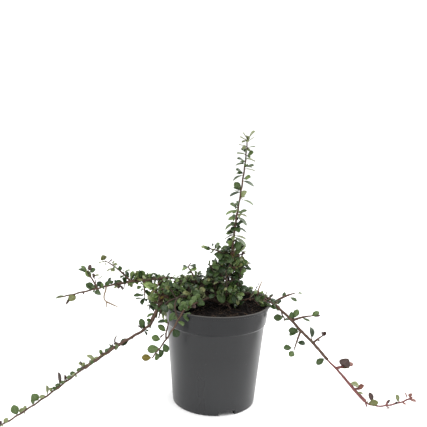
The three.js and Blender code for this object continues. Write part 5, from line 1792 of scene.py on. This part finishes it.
class Plant:
    """The whole plant: it grows the source's skeleton, then finer twigs and leaves on it."""

    PROBES = np.array([[0.3, 0], [0.6, 1], [0.6, -1], [0.85, 0.5], [0.85, -0.5], [0.85, 0], [1, 0]])
    REACH = 2.5
    SHOWN = np.array([0.25, 0.5, 0.8])
    SHOWN_SHARE = 0.28
    NEARER = 0.8
    LIMB_GAP = 0.5
    SECOND_SIZE = 0.7
    TIP_TAPER = 0.35

    # Leaves that are set one by one. A pair is a least value and what chance adds at most
    SOFT_RIM = (1.1, 0.25)
    KIND_LENGTH = (0.72, 0.3)
    PAST_SHOWN = (1.01, 1.5)
    LENGTH_TO_WIDTH = 1.22
    TOWARDS = 0.62
    TRUE_WIDTH = 1.02
    BLADE_WIDTH = (0.6, 0.14)
    ROOT_SINK = 0.08

    # Small leaves at the foot of those
    SECOND_AXIL = 0.5
    AXIL_WAY = (0.75, 0.6)
    AXIL_LENGTH = (0.3, 0.24)
    AXIL_GAZE = (0.7, 0.5, 0.3)
    AXIL_WIDTH = (0.5, 0.2)
    AXIL_ROOT, AXIL_STALK = 1.1, 1.5

    # Finer twigs, in millimetres and degrees
    FINER_PLACE = (0.6, 0.5)
    FINER_TURN = 40
    FINER_TILT = (55, 12)
    FINER_LENGTH = (4.5, 4)
    FINER_TIP = 0.7
    FINER_POINTS = 5

    # Leaves that the rule sets, in millimetres and degrees
    NODE_JITTER = 0.3
    FAN = 58
    TIP_TILT, LONE_TIP_TILT = 42, 12
    RULED_LENGTH = (0.62, 0.5)
    FLAT_WAY = (0.35, 0.35)
    LOOKING_WAY = (0.45, 0.3)
    FACING_SPREAD = 0.38
    RULED_STALK = (1.0, 1.4)
    BROAD_SPREAD = 0.2
    MAIN_TONE = 0.55

    def __init__(self, crown: Crown, pot: Pot, soil: Soil) -> None:
        """Lays the main lines and grows the twigs that the source grows."""
        self.crown, self.pot, self.soil = crown, pot, soil
        self.shape = LeafShape()
        self.routes: dict[str, Route] = {}
        for limb in LIMBS:
            seat = crown.seat(limb.seat.value, limb.azimuth, limb.radii[0])
            self.routes[limb.name] = Route([*seat, *limb.through])
        for mass in MASSES:
            if mass.after:
                before = self.routes[mass.after]
                onward = before.heading(1.0)[0]
                start = before.at(1.0)[0] + onward * SEAT_GAP
                seat = [start, start + onward * SEAT_RUN]
            else:
                seat = crown.seat(mass.seat.value, mass.azimuth, mass.radii[0])
            self.routes[mass.name] = Route([*seat, *mass.through])
        self.owners: list[str] = []
        self.bones = np.zeros((0, 4))
        steps = max(2, math.ceil(crown.height / SKELETON_STEP))
        shares = np.linspace(0, 1, steps + 1)
        self.remember("crown_stem", crown.at(shares), crown.radius(shares))
        for row in [*LIMBS, *MASSES]:
            points = self.routes[row.name].spaced(SKELETON_STEP)
            self.remember(row.name, points, mix(row.radii, np.linspace(0, 1, len(points))))
        self.twigs = {mass.name: self.source_twigs(mass) for mass in MASSES}
        self.shoots: dict[str, list[Twig]] = {}
        self.carriers = {mass.name: self.carriers_of(mass) for mass in MASSES}
        self.rows = self.measured_rows()
        self.placed = {mass.name: self.place(mass) for mass in MASSES}
        shown = LeafBed.joined([row.bed for row in self.placed.values()])
        along = (self.SHOWN * shown.length[:, None])[..., None] * shown.along[:, None]
        self.shown, self.shown_depth = sighted((shown.root[:, None] + along).reshape(-1, 3))
        self.shown_reach = np.repeat(shown.width * self.SHOWN_SHARE, len(self.SHOWN))

    def remember(self, owner: str, points: np.ndarray, radii: np.ndarray) -> None:
        """Adds a limb's points and radii to the skeleton."""
        self.bones = np.vstack([self.bones, np.column_stack([points, radii])])
        self.owners += [owner] * len(points)

    def clear_of_pot(self, points: np.ndarray) -> np.ndarray:
        """True for points clear of the ground, the pot and the soil."""
        radius, z = np.hypot(points[..., 0], points[..., 1]), points[..., 2]
        outside = (z > self.pot.height + FREE_GAP) | (radius > self.pot.radius_at(z) + FREE_GAP)
        over_soil = z > self.soil.height(points[..., 0], points[..., 1]) + FREE_GAP
        inside = over_soil & (radius < self.pot.collar_top - self.pot.wall - FREE_GAP)
        return (z > GROUND_GAP) & (outside | inside)

    def twig_is_clear(self, line: np.ndarray, owner: str) -> bool:
        """True where a twig keeps its distance from every limb that isn't its own."""
        route = Route(line)
        points = route.at(np.linspace(0, 1, math.ceil(route.length / SKELETON_STEP) + 1))[1:]
        others = self.bones[np.array(self.owners) != owner]
        apart = np.linalg.norm(points[:, None] - others[None, :, :3], axis=2) - others[:, 3]
        return bool((apart >= TWIG_GAP).all() and self.clear_of_pot(points).all())

    @staticmethod
    def sides(face: np.ndarray, heading: np.ndarray) -> tuple[np.ndarray, np.ndarray]:
        """The two directions square to headings: sideways to a face, and outwards to it."""
        sideways = unit(np.cross(face, heading))
        return sideways, np.cross(heading, sideways)

    @classmethod
    def leaving(cls, face: np.ndarray, heading: np.ndarray, turn: np.ndarray, tilt: np.ndarray,
                lift: float) -> np.ndarray:
        """Directions that leave headings at a tilt, turned about them from sideways."""
        sideways, outward = cls.sides(face, heading)
        turn, tilt = np.radians(turn)[..., None], np.radians(tilt)[..., None]
        out = sideways * np.cos(turn) + outward * np.sin(turn)
        return unit(heading * np.cos(tilt) + out * np.sin(tilt) + UP * lift)

    def source_twigs(self, mass: Mass) -> list[Twig]:
        """The twigs that the source grows on a mass's stem, by its rule and its seed.

        Args:
            mass: the row.

        Returns:
            The twigs that are clear, named ones first.
        """
        dice, stem, face = Dice(mass.seed), self.routes[mass.name], np.array(mass.face, float)
        wanted = [(at / stem.length, np.array(to, float), bare) for at, to, bare in mass.twigs]
        rule = mass.sprouts
        for i in range(rule.count if rule else 0):
            step = (i + 1) / (rule.count + 1)
            share = max(0.0, mix((rule.start, rule.end), step) + dice.centred(SPROUT_PLACE_JITTER))
            turn = SPROUT_FIRST_TURN + i * SPIRAL_TURN + dice.centred(TURN_JITTER)
            tilt = rule.tilt + dice.centred(TILT_JITTER)
            turns, tilts = np.array([turn]), np.array([tilt])
            reach = self.leaving(face, stem.heading(share), turns, tilts, SPROUT_LIFT)[0]
            size = mix(rule.length, step) * (1 + dice.centred(SPROUT_LENGTH_JITTER))
            wanted.append((share, reach * size, False))
        grown = []
        for share, reach, bare in wanted:
            line = arched(stem.at(share)[0], reach, TWIG_POINTS)
            if self.twig_is_clear(line, mass.name):
                root = mix(mass.radii, share) * TWIG_ROOT_SHARE
                grown.append(Twig(line, (root, root * TWIG_TIP_SHARE), mass.name, bare))
                points = Route(line).spaced(SKELETON_STEP)
                radii = mix(grown[-1].radii, np.linspace(0, 1, len(points)))
                self.remember(mass.name, points, radii)
        return grown

    def ruled_twigs(self, mass: Mass) -> list[Twig]:
        """The source's twigs of a mass whose leaves the rule sets."""
        named = len(mass.twigs)
        return [twig for n, twig in enumerate(self.twigs[mass.name], 1)
                if not twig.bare and (n > named or (mass.name, n) not in self.rows)]

    def carriers_of(self, mass: Mass) -> dict[int, Carrier]:
        """The lines that bear a mass's set leaves, by number, with its bare twigs among them.

        Args:
            mass: the row. The stem is 0, the named twigs and the bare twigs follow in their
                order, and -1, -2 and so on are the rule's twigs.

        Returns:
            The carriers. The bare twigs are also kept as the mass's shoots.
        """
        stem, grown, named = self.routes[mass.name], self.twigs[mass.name], len(mass.twigs)
        carriers = [Carrier(stem, float(np.mean(mass.radii)), stem)]
        for (at, to, _), twig in zip(mass.twigs, grown):
            drawn = Route(arched(stem.at(at / stem.length)[0], np.array(to, float), TWIG_POINTS))
            carriers.append(Carrier(twig.route, twig.radii[1], drawn))
        shoots = self.shoots[mass.name] = []
        for number, wood, places in BARE_TWIGS.get(mass.name, ()):
            carrier = self.bare_twig(carriers[number], places)
            carriers.append(carrier)
            ends = (carrier.radius, carrier.radius * SHOOT_TIP_SHARE)
            line = carrier.route.spaced(SHOOT_STEP, SHOOT_POINTS)
            shoots.append(Twig(line, ends, mass.name, True, wood))
        ruled = {-k: Carrier(t.route, t.radii[1], t.route) for k, t in enumerate(grown[named:], 1)}
        return dict(enumerate(carriers)) | ruled

    @staticmethod
    def bare_twig(bearer: Carrier, places: Sequence[tuple[float, float]]) -> Carrier:
        """A bare twig through places of the photograph.

        Args:
            bearer: the line that bears it.
            places: where its root and the points after it are seen.

        Returns:
            The twig. Its points have the root's depth and lean back by the view's slope, and as
            grown they are rounded.
        """
        share, root, depth = VIEW.nearest(bearer.drawn, places[0], SHOOT_PLACES)
        reach = [(VIEW.laid(place, depth) - root)[[0, 2]] for place in places[1:]]
        drawn = Route([root, *(root + np.array([x, BACK_SLOPE * z, z]) for x, z in reach)])
        run = rounded(share * bearer.drawn.length)
        foot = bearer.route.at(run / bearer.route.length)[0]
        tenths = [(rounded(x), rounded(z)) for x, z in reach]
        route = Route([foot, *(foot + np.array([x, BACK_SLOPE * z, z]) for x, z in tenths)])
        return Carrier(route, min(bearer.radius, SHOOT_RADIUS), drawn)

    def measured_rows(self) -> dict[tuple[str, int], list[LeafRow]]:
        """All set leaves in millimetres, by mass and carrier.

        Returns:
            The open shoots' leaves, each on its own carrier where that is seen nearest to it,
            and after them the crown's, each on the perch that it fits best.
        """
        found: dict[tuple[str, int], list[LeafRow]] = {}
        for (name, number), leaves in SeenLeaf.by_carrier(OPEN_LEAVES).items():
            drawn = self.carriers[name][number].drawn
            for leaf in leaves:
                share, _, depth = VIEW.nearest(drawn, leaf.node, LEAF_PLACES)
                found.setdefault((name, number), []).append(leaf.measured(drawn, share, depth))
        perches = self.perches()
        for leaf in SeenLeaf.rows(CROWN_LEAVES):
            fits = [perch.fit(leaf) for perch in perches]
            best = min(range(len(fits)), key=lambda k: fits[k][0])
            perch, i = perches[best], fits[best][1]
            row = leaf.measured(perch.route, float(perch.shares[i]), float(perch.depth[i]))
            found.setdefault(perch.key, []).append(row)
        return found

    def perches(self) -> list[Perch]:
        """The crown's stems and twigs, all but the bare ones. The upright one's top is left out."""
        made = []
        for mass in (row for name in CROWN_MASSES for row in MASSES if row.name == name):
            low, high = (np.array(corner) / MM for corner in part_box(mass.name))
            for number, carrier in self.carriers[mass.name].items():
                upright = mass.name == "foliage_upright" and number == 0
                shares = np.linspace(0, *(UPRIGHT_PERCH if upright else WHOLE_PERCH))
                if number <= len(mass.twigs):
                    made.append(Perch((mass.name, number), carrier.drawn, shares, low, high))
        return made

    def set_leaves(self, mass: Mass, rows: list[LeafRow], carrier: Carrier,
                   rng: np.random.Generator) -> tuple[LeafBed, np.ndarray]:
        """The leaves that are set one by one on a carrier.

        A leaf keeps the tip and the width that its row gives as seen from the front, the width
        made a tenth and a quarter of a millimetre more for its soft rim. Its length is its kind's,
        held between what shows and half as much again. It leans towards the viewer, or in 38 of
        100 cases away, by as much as the length leaves over, and it rolls about its own line by
        the turn whose cosine is the seen width over the true one.

        Args:
            mass: the mass's own row.
            rows: the leaves' rows.
            carrier: what bears them.
            rng: the seeded numbers.

        Returns:
            The leaves and the ends of their stalks.
        """
        size, route = len(rows), carrier.route
        run, x, z, seen, blade = (np.array([getattr(row, key) for row in rows], float)
                                  for key in ("run", "x", "z", "width", "blade"))
        seen = seen * self.SOFT_RIM[0] + self.SOFT_RIM[1]
        flat = np.stack([x, BACK_SLOPE * z, z], axis=-1)
        reach = np.linalg.norm(flat, axis=1)
        shown = np.where(blade > 0, blade, reach - STALK)
        usual = mass.size[0] * chance(self.KIND_LENGTH, rng, size)
        least, most = (shown * share for share in self.PAST_SHOWN)
        length = np.maximum.reduce([least, np.minimum(usual, most), seen * self.LENGTH_TO_WIDTH])
        lean = np.sqrt(length**2 - shown**2) * np.where(rng.random(size) < self.TOWARDS, -1, 1)
        along = unit(unit(flat) * shown[:, None] + AHEAD * lean[:, None])
        width = np.maximum(seen * self.TRUE_WIDTH, length * chance(self.BLADE_WIDTH, rng, size))
        toward = unit(-AHEAD + (along @ AHEAD)[:, None] * along)
        aside = np.cross(along, toward)
        aside *= np.where(aside @ UP < 0, -1, 1)[:, None]
        cosine = np.clip(seen / width, 0, 1)[:, None]
        normal = unit(toward * cosine + aside * np.sqrt(1 - cosine**2))
        node = route.at(run / route.length)
        sink = normal * width[:, None] * self.ROOT_SINK
        root = node + unit(flat) * (reach - shown)[:, None] - sink
        tone = np.array([row.tone for row in rows], int)
        start = node + unit(flat) * carrier.radius * 0.5
        ends = np.stack([start, root + along * STALK_INTO_BLADE], axis=1)
        return LeafBed(root, along, normal, length, width, tone), ends

    def axillary(self, mass: Mass, bed: LeafBed, stalks: np.ndarray,
                 rng: np.random.Generator) -> tuple[LeafBed, np.ndarray]:
        """Small young leaves at the foot of leaves that are set one by one, one or two to each.

        Args:
            mass: the row.
            bed: the leaves that are set.
            stalks: the two ends of their stalks.
            rng: the seeded numbers.

        Returns:
            The small leaves and the ends of their stalks.
        """
        chosen = np.repeat(rng.random(len(bed.length)) < mass.axils, 2)
        chosen[1::2] &= rng.random(len(bed.length)) < self.SECOND_AXIL
        size = len(chosen)
        onward, stray = self.AXIL_WAY
        along = unit(onward * np.repeat(bed.along, 2, axis=0) + stray * rng.normal(size=(size, 3)))
        start = np.repeat(stalks[:, 0], 2, axis=0)
        length = mass.size[0] * chance(self.AXIL_LENGTH, rng, size)
        stray, upward, viewer = self.AXIL_GAZE
        gaze = unit(stray * rng.normal(size=(size, 3)) + UP * upward - AHEAD * viewer)
        across = unit(np.cross(gaze, along))
        width = length * chance(self.AXIL_WIDTH, rng, size)
        small = LeafBed(start + along * self.AXIL_ROOT, along, np.cross(along, across), length,
                        width, np.repeat(bed.tone, 2))
        ends = np.stack([start, start + along * self.AXIL_STALK], axis=1)
        return small.kept(chosen), ends[chosen]

    def place(self, mass: Mass) -> Placed:
        """Sets a mass's leaves that are set one by one, carrier by carrier.

        Args:
            mass: the row.

        Returns:
            The leaves, their stalks and the seeded numbers as they stand after them.
        """
        rng = np.random.default_rng(mass.seed)
        beds, stalks = [], []
        for number, carrier in self.carriers[mass.name].items():
            rows = self.rows.get((mass.name, number), [])
            bed, ends = self.set_leaves(mass, rows, carrier, rng)
            small, small_ends = self.axillary(mass, bed, ends, rng)
            beds += [bed, small]
            stalks += [ends, small_ends]
        return Placed(LeafBed.joined(beds), np.concatenate(stalks), rng)

    def hides(self, points: np.ndarray) -> np.ndarray:
        """True for leaves that would stand in front of a leaf that is set one by one.

        Args:
            points: (leaves, probes, 3) points on each leaf.

        Returns:
            True where a probe is seen on a set leaf's middle line, within a share of its width,
            and is nearer to the viewer.
        """
        plane, depth = sighted(points)
        apart = np.linalg.norm(plane[:, :, None] - self.shown, axis=-1)
        nearer = depth[:, :, None] < self.shown_depth - self.NEARER
        return ((apart < self.shown_reach) & nearer).any(axis=(1, 2))

    def finer_twigs(self, mass: Mass, rng: np.random.Generator) -> list[Twig]:
        """Small side shoots on a mass's twigs and stem, by the same rule a step finer."""
        grown = []
        face = np.array(mass.face, float)
        for twig in self.ruled_twigs(mass):
            route = twig.route
            for i in range(mass.finer):
                first, spread = self.FINER_PLACE
                share = (i + first + spread * rng.random()) / (mass.finer + first)
                stray = rng.normal() * self.FINER_TURN
                turn = np.array([SPROUT_FIRST_TURN * (2 * i + 1) + stray])
                tilt = np.array([self.FINER_TILT[0] + rng.normal() * self.FINER_TILT[1]])
                way = self.leaving(face, route.heading(share), turn, tilt, SPROUT_LIFT)[0]
                reach = way * chance(self.FINER_LENGTH, rng)
                line = arched(route.at(share)[0], reach, self.FINER_POINTS)
                if self.twig_is_clear(line, mass.name):
                    radii = twig.radii[1], twig.radii[1] * self.FINER_TIP
                    grown.append(Twig(line, radii, mass.name))
        return grown

    def leaf_is_clear(self, bed: LeafBed, low: np.ndarray, high: np.ndarray) -> np.ndarray:
        """True for leaves clear of limbs, pot, soil and ground, and inside the mass's own reach.

        Args:
            bed: the leaves.
            low: the reach's lowest corner.
            high: its highest corner.

        Returns:
            One truth value a leaf.
        """
        along, across = self.PROBES[:, 0], self.PROBES[:, 1]
        points = (bed.root[:, None] + bed.along[:, None] * (along * bed.length[:, None])[..., None]
                  + bed.across()[:, None] * (across * bed.width[:, None] / 2)[..., None])
        limbs = self.bones[[not name.startswith("foliage") for name in self.owners]]
        apart = np.linalg.norm(points[:, :, None] - limbs[None, None, :, :3], axis=3) - limbs[:, 3]
        free = (apart > self.LIMB_GAP).all(axis=(1, 2))
        inside = ((points > low) & (points < high)).all(axis=(1, 2))
        seen = in_outline(points, CROWN_OUTLINE).all(axis=1) & ~self.hides(points)
        seen &= ~in_outline(points, OPEN_SOIL).any(axis=1)
        return free & inside & self.clear_of_pot(points).all(axis=1) & seen

    def ruled_leaves(self, mass: Mass, route: Route, radius: float, rng: np.random.Generator,
                     first: float, reach: float) -> tuple[LeafBed, np.ndarray]:
        """Leaves along a stem or twig: clusters on short spurs at alternate sides, and a last few.

        Args:
            mass: the row whose rule they follow.
            route: the line that bears them.
            radius: the line's radius.
            rng: the seeded numbers.
            first: turn of the first cluster, in degrees.
            reach: the run beyond which the rule sets none.

        Returns:
            The leaves and, one row each, the two ends of the spurs and stalks that bear them.
        """
        count = max(1, int(route.length / mass.spacing * mass.crowd))
        share = (np.arange(count) + 1) / count
        share[:-1] += (rng.random(count - 1) - 0.5) * self.NODE_JITTER / count
        at_tip = np.arange(count) == count - 1
        clusters = np.round(mix(mass.cluster, share))
        many = np.where(at_tip, mass.tips, clusters).astype(int)
        node = np.repeat(np.arange(count), many)
        order = np.concatenate([np.arange(m) for m in many])
        off_middle = order - (many[node] - 1) / 2
        fan = np.where(at_tip[node], order * HALF_TURN, off_middle * self.FAN)
        size = len(node)
        turn = first + (node + 1) * HALF_TURN + fan + (rng.random(size) - 0.5) * TURN_JITTER
        tip_tilt = self.TIP_TILT if mass.tips > 1 else self.LONE_TIP_TILT
        mean_tilt = np.where(at_tip[node], tip_tilt, mix(mass.tilt, share[node]))
        tilt = mean_tilt + (rng.random(size) - 0.5) * TILT_JITTER
        heading = route.heading(share)[node]
        face = unit(np.array(mass.face, float))
        along = self.leaving(face, heading, turn, tilt, mass.lift)
        length = mix(mass.size, share[node]) * chance(self.RULED_LENGTH, rng, size)
        stray, upward = self.FLAT_WAY
        flat = unit(heading + stray * rng.normal(size=(size, 3)) + upward * UP)
        stray, onward = self.LOOKING_WAY
        looking = unit(face + stray * rng.normal(size=(size, 3)) + onward * heading)
        toward = mass.facing + self.FACING_SPREAD * rng.normal(size=size)
        toward = np.clip(toward, 0, 1)[:, None]
        gaze = flat * (1 - toward) + looking * toward
        across = unit(np.cross(gaze, along))
        normal = np.cross(along, across)
        stalk = chance(self.RULED_STALK, rng, size)[:, None]
        start = route.at(share)[node] + along * radius * 0.5
        root = route.at(share)[node] + along * (radius + stalk)
        width = length * chance((mass.broad, self.BROAD_SPREAD), rng, size)
        bed = LeafBed(root, along, normal, length, width, self.deal(mass, rng, size))
        ends = np.stack([start, root + along * STALK_INTO_BLADE], axis=1)
        near = share[node] * route.length <= reach + 0.01
        return bed.kept(near), ends[near]

    @classmethod
    def deal(cls, mass: Mass, rng: np.random.Generator, count: int) -> np.ndarray:
        """Tone numbers for a spray: one main tone, and a third of its leaves in others."""
        tones = np.array([TONES.index(tone) for tone in mass.tones])
        weights = np.array(list(mass.tones.values()))
        weights = weights / weights.sum()
        main = rng.choice(tones, p=weights)
        others = rng.random(count) >= cls.MAIN_TONE
        return np.where(others, rng.choice(tones, size=count, p=weights), main)

    def grow(self, mass: Mass, palette: Palette) -> None:
        """Makes a mass's two pieces, its wood and its leaves.

        Args:
            mass: the row.
            palette: the plant's materials.
        """
        placed, stem = self.placed[mass.name], self.routes[mass.name]
        rng = placed.rng
        low, high = (np.array(corner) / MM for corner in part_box(mass.name))
        low, high = low - self.REACH, high + self.REACH
        wood, finer = WOODS.index(mass.wood), self.finer_twigs(mass, rng)
        twigs = [(twig, mass.stout) for twig in self.twigs[mass.name] + finer]
        twigs += [(twig, max(mass.stout, SHOOT_STOUT)) for twig in self.shoots[mass.name]]
        beds, stalks = [placed.bed], [placed.stalks]
        lines = [(stem, float(np.mean(mass.radii)), mass.ruled)]
        lines += [(t.route, t.radii[1], t.route.length) for t in self.ruled_twigs(mass) + finer]
        for i, (route, radius, reach) in enumerate(lines):
            bed, ends = self.ruled_leaves(mass, route, radius, rng, i * HALF_TURN, reach)
            clear = self.leaf_is_clear(bed, low, high)
            small = bed.smaller(self.SECOND_SIZE)
            second = ~clear & self.leaf_is_clear(small, low, high)
            beds += [bed.kept(clear), small.kept(second)]
            stalks += [ends[clear], ends[second]]
        bed, ends = LeafBed.joined(beds), np.concatenate(stalks)
        parts = [self.stem_patch(mass, stem).with_finish(wood)]
        for twig, stout in twigs:
            t = np.linspace(0, 1, len(twig.line))
            radii = mix(twig.radii, t) * (1 - self.TIP_TAPER * t**6) * stout
            bark = WOODS.index(twig.wood) if twig.wood else wood
            parts.append(tubes(twig.line[None], radii[None], 6).with_finish(bark))
        t = np.linspace(0, 1, 3)[None, :, None]
        lines3 = ends[:, :1] * (1 - t) + ends[:, 1:] * t
        radii = np.full(lines3.shape[:2], STALK_RADIUS)
        parts.append(tubes(lines3, radii, 4).with_finish(wood))
        short = mass.name.removeprefix("foliage_")
        Patch.joined(parts).piece(f"{short}_twigs", "foliage", palette.woods, [mass.name])
        self.shape.grown(bed, rng).piece(f"{short}_leaves", "foliage", palette.leaves, [mass.name])

    def stem_patch(self, mass: Mass, stem: Route) -> Patch:
        """A mass's own stem, a little wavy, with swollen nodes where leaves leave it."""
        rings = max(8, int(stem.length / 1.6))
        t = np.linspace(0, 1, rings)
        line = stem.at(t)
        line[0] -= stem.heading(0.0)[0] * SEAT_GAP
        waves = [np.sin(t * stem.length * 0.42 + phase) for phase in (0.3, 1.9, 3.1)]
        wander = np.stack(waves, axis=-1) * 0.22
        wander[0] = wander[-1] = 0

        def relief(run: np.ndarray, turn: np.ndarray) -> np.ndarray:
            """Node swellings every spacing, 0.16 r cos^8, and fine lengthwise ridges."""
            node = np.cos(math.pi * run / mass.spacing) ** 8 * 0.16
            return mass.radii[1] * (node + 0.05 * np.sin(5 * turn + run * 0.9))

        radii = mix(mass.radii, t)[None] * mix((1.0, mass.stout), t)
        return tubes((line + wander)[None], radii, 8, relief)

    def bough(self, limb: Limb, palette: Palette) -> None:
        """A bough with its bark's relief, which replaces its solid."""
        route = self.routes[limb.name]
        t = np.linspace(0, 1, max(10, int(route.length / 0.9)))
        radii = mix(limb.radii, t)
        line = route.at(t)
        line[0] -= route.heading(0.0)[0] * CROWN_GAP * 2

        def relief(run: np.ndarray, turn: np.ndarray) -> np.ndarray:
            """Low lengthwise ridges, ring scars and two slow swellings, in shares of the radius."""
            ridge = 0.05 * np.sin(4 * turn + 0.25 * run) + 0.03 * np.sin(7 * turn - 0.4 * run + 1.0)
            scar = 0.12 * np.exp(-((run % 9.5 - 4.0) / 0.7) ** 2)
            return limb.radii[1] * (ridge + scar + 0.05 * np.sin(run * 0.37 + limb.azimuth))

        patch = tubes(line[None], radii[None], 16, relief).with_finish(WOODS.index(Wood.SHADE))
        patch.piece("bark_" + limb.name, "young_bark", palette.woods, [limb.name])

    def crown_stem(self, palette: Palette) -> None:
        """The crown stem: a flared foot with fluted, scaly bark that swells under each limb."""
        t = np.linspace(0, 1, 44)
        radii = self.crown.radius(t) * (1 - 0.5 * np.clip((t - 0.86) / 0.14, 0, 1) ** 2)
        line = self.crown.at(t)

        def relief(run: np.ndarray, turn: np.ndarray) -> np.ndarray:
            """Five flutes that fade upwards, scales from crossed waves, and knobs."""
            up = run / self.crown.height
            flute = 0.55 * np.cos(5 * turn + 0.4) * np.maximum(1 - up, 0) ** 1.5
            scale = 0.28 * np.sin(9 * turn + 1.1 * run) * np.sin(1.9 * run + 3 * turn)
            knob = 0.3 * np.sin(3 * turn + 0.8 * run)
            return (flute + scale + knob) * (1 - np.clip((up - 0.85) / 0.15, 0, 1))

        patch = tubes(line[None], radii[None], 40, relief).with_finish(WOODS.index(Wood.OLD))
        patch.piece("bark_crown_stem", "old_bark", palette.woods, ["crown_stem"])


# ---- studio ----


@dataclass(frozen=True)
class Light:
    """A square soft light: its place and side in metres and its power in watts."""

    name: str
    place: Triple
    side: float
    power: float


LIGHTS = (
    Light("key", (-0.5, -0.9, 1.3), 0.7, 8.0),
    Light("top", (0.25, 0.15, 1.5), 0.8, 9.0),
    Light("left_rim", (-1.0, 0.25, 0.4), 0.9, 3.0),
    Light("right_rim", (0.85, 0.55, 0.6), 0.9, 8.0),
)


@dataclass(frozen=True)
class Studio:
    """Camera at the photograph's angle, pale floor and soft light."""

    sensor: float = 36.0
    sky: float = 1.3
    aim: Triple = (0, 0, 0.12)
    floor_side: float = 40.0
    floor_drop: float = 0.0002

    def camera(self) -> None:
        """Makes the camera on the photograph's line of sight."""
        right, over, ahead = VIEW.axes()
        data = bpy.data.cameras.new("camera")
        data.sensor_width = self.sensor
        data.lens = VIEW.focal / VIEW.frame * self.sensor
        data.clip_start, data.clip_end = 0.01, 20
        made = bpy.data.objects.new("camera", data)
        bpy.context.scene.collection.objects.link(made)
        turn = np.eye(4)
        turn[:3, 0], turn[:3, 1], turn[:3, 2] = right, over, -ahead
        turn[:3, 3] = np.array(VIEW.eye) * MM
        made.matrix_world = Matrix(turn.tolist())
        bpy.context.scene.camera = made

    def light(self, light: Light) -> None:
        """Makes a light that looks at the plant."""
        data = bpy.data.lights.new(light.name, "AREA")
        data.size, data.energy = light.side, light.power
        made = bpy.data.objects.new(light.name, data)
        bpy.context.scene.collection.objects.link(made)
        away = unit(np.array(light.place) - np.array(self.aim))
        side = unit(np.cross(UP, away))
        turn = np.eye(4)
        turn[:3, 0], turn[:3, 1], turn[:3, 2] = side, np.cross(away, side), away
        turn[:3, 3] = light.place
        made.matrix_world = Matrix(turn.tolist())

    def set_up(self) -> None:
        """Floor, sky and lights."""
        self.camera()
        scene = bpy.context.scene
        scene.view_settings.view_transform = "Standard"
        scene.view_settings.look = "None"
        world = bpy.data.worlds.new("studio")
        world.use_nodes = True
        world.node_tree.nodes["Background"].inputs["Color"].default_value = (1.0, 1.0, 1.0, 1)
        world.node_tree.nodes["Background"].inputs["Strength"].default_value = self.sky
        scene.world = world
        for light in LIGHTS:
            self.light(light)
        corners = [(x * self.floor_side, y * self.floor_side, -self.floor_drop)
                   for x, y in ((-1, -1), (1, -1), (1, 1), (-1, 1))]
        mesh = bpy.data.meshes.new("floor")
        mesh.from_pydata(corners, [], [(0, 1, 2, 3)])
        n = Nodes("floor_paper", (0.95, 0.95, 0.95), 0.9, 0.1)
        grain = n.noise(n.place(), 40, 2)
        n.colour(n.blend(grain, (0.945, 0.945, 0.945), (0.955, 0.955, 0.955)))
        mesh.materials.append(n.material)
        floor = bpy.data.objects.new("floor", mesh)
        scene.collection.objects.link(floor)


def main() -> None:
    """Builds the studio, the pot, the soil and the plant in order."""
    logging.basicConfig(level=logging.INFO, format="%(name)s %(message)s")
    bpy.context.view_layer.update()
    Studio().set_up()
    pot = Pot()
    pot.dress()
    soil = Soil(pot)
    soil.dress()
    palette = Palette()
    plant = Plant(Crown(), pot, soil)
    plant.crown_stem(palette)
    for limb in LIMBS:
        plant.bough(limb, palette)
    for mass in MASSES:
        plant.grow(mass, palette)
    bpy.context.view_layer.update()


if __name__ == "__main__":
    main()
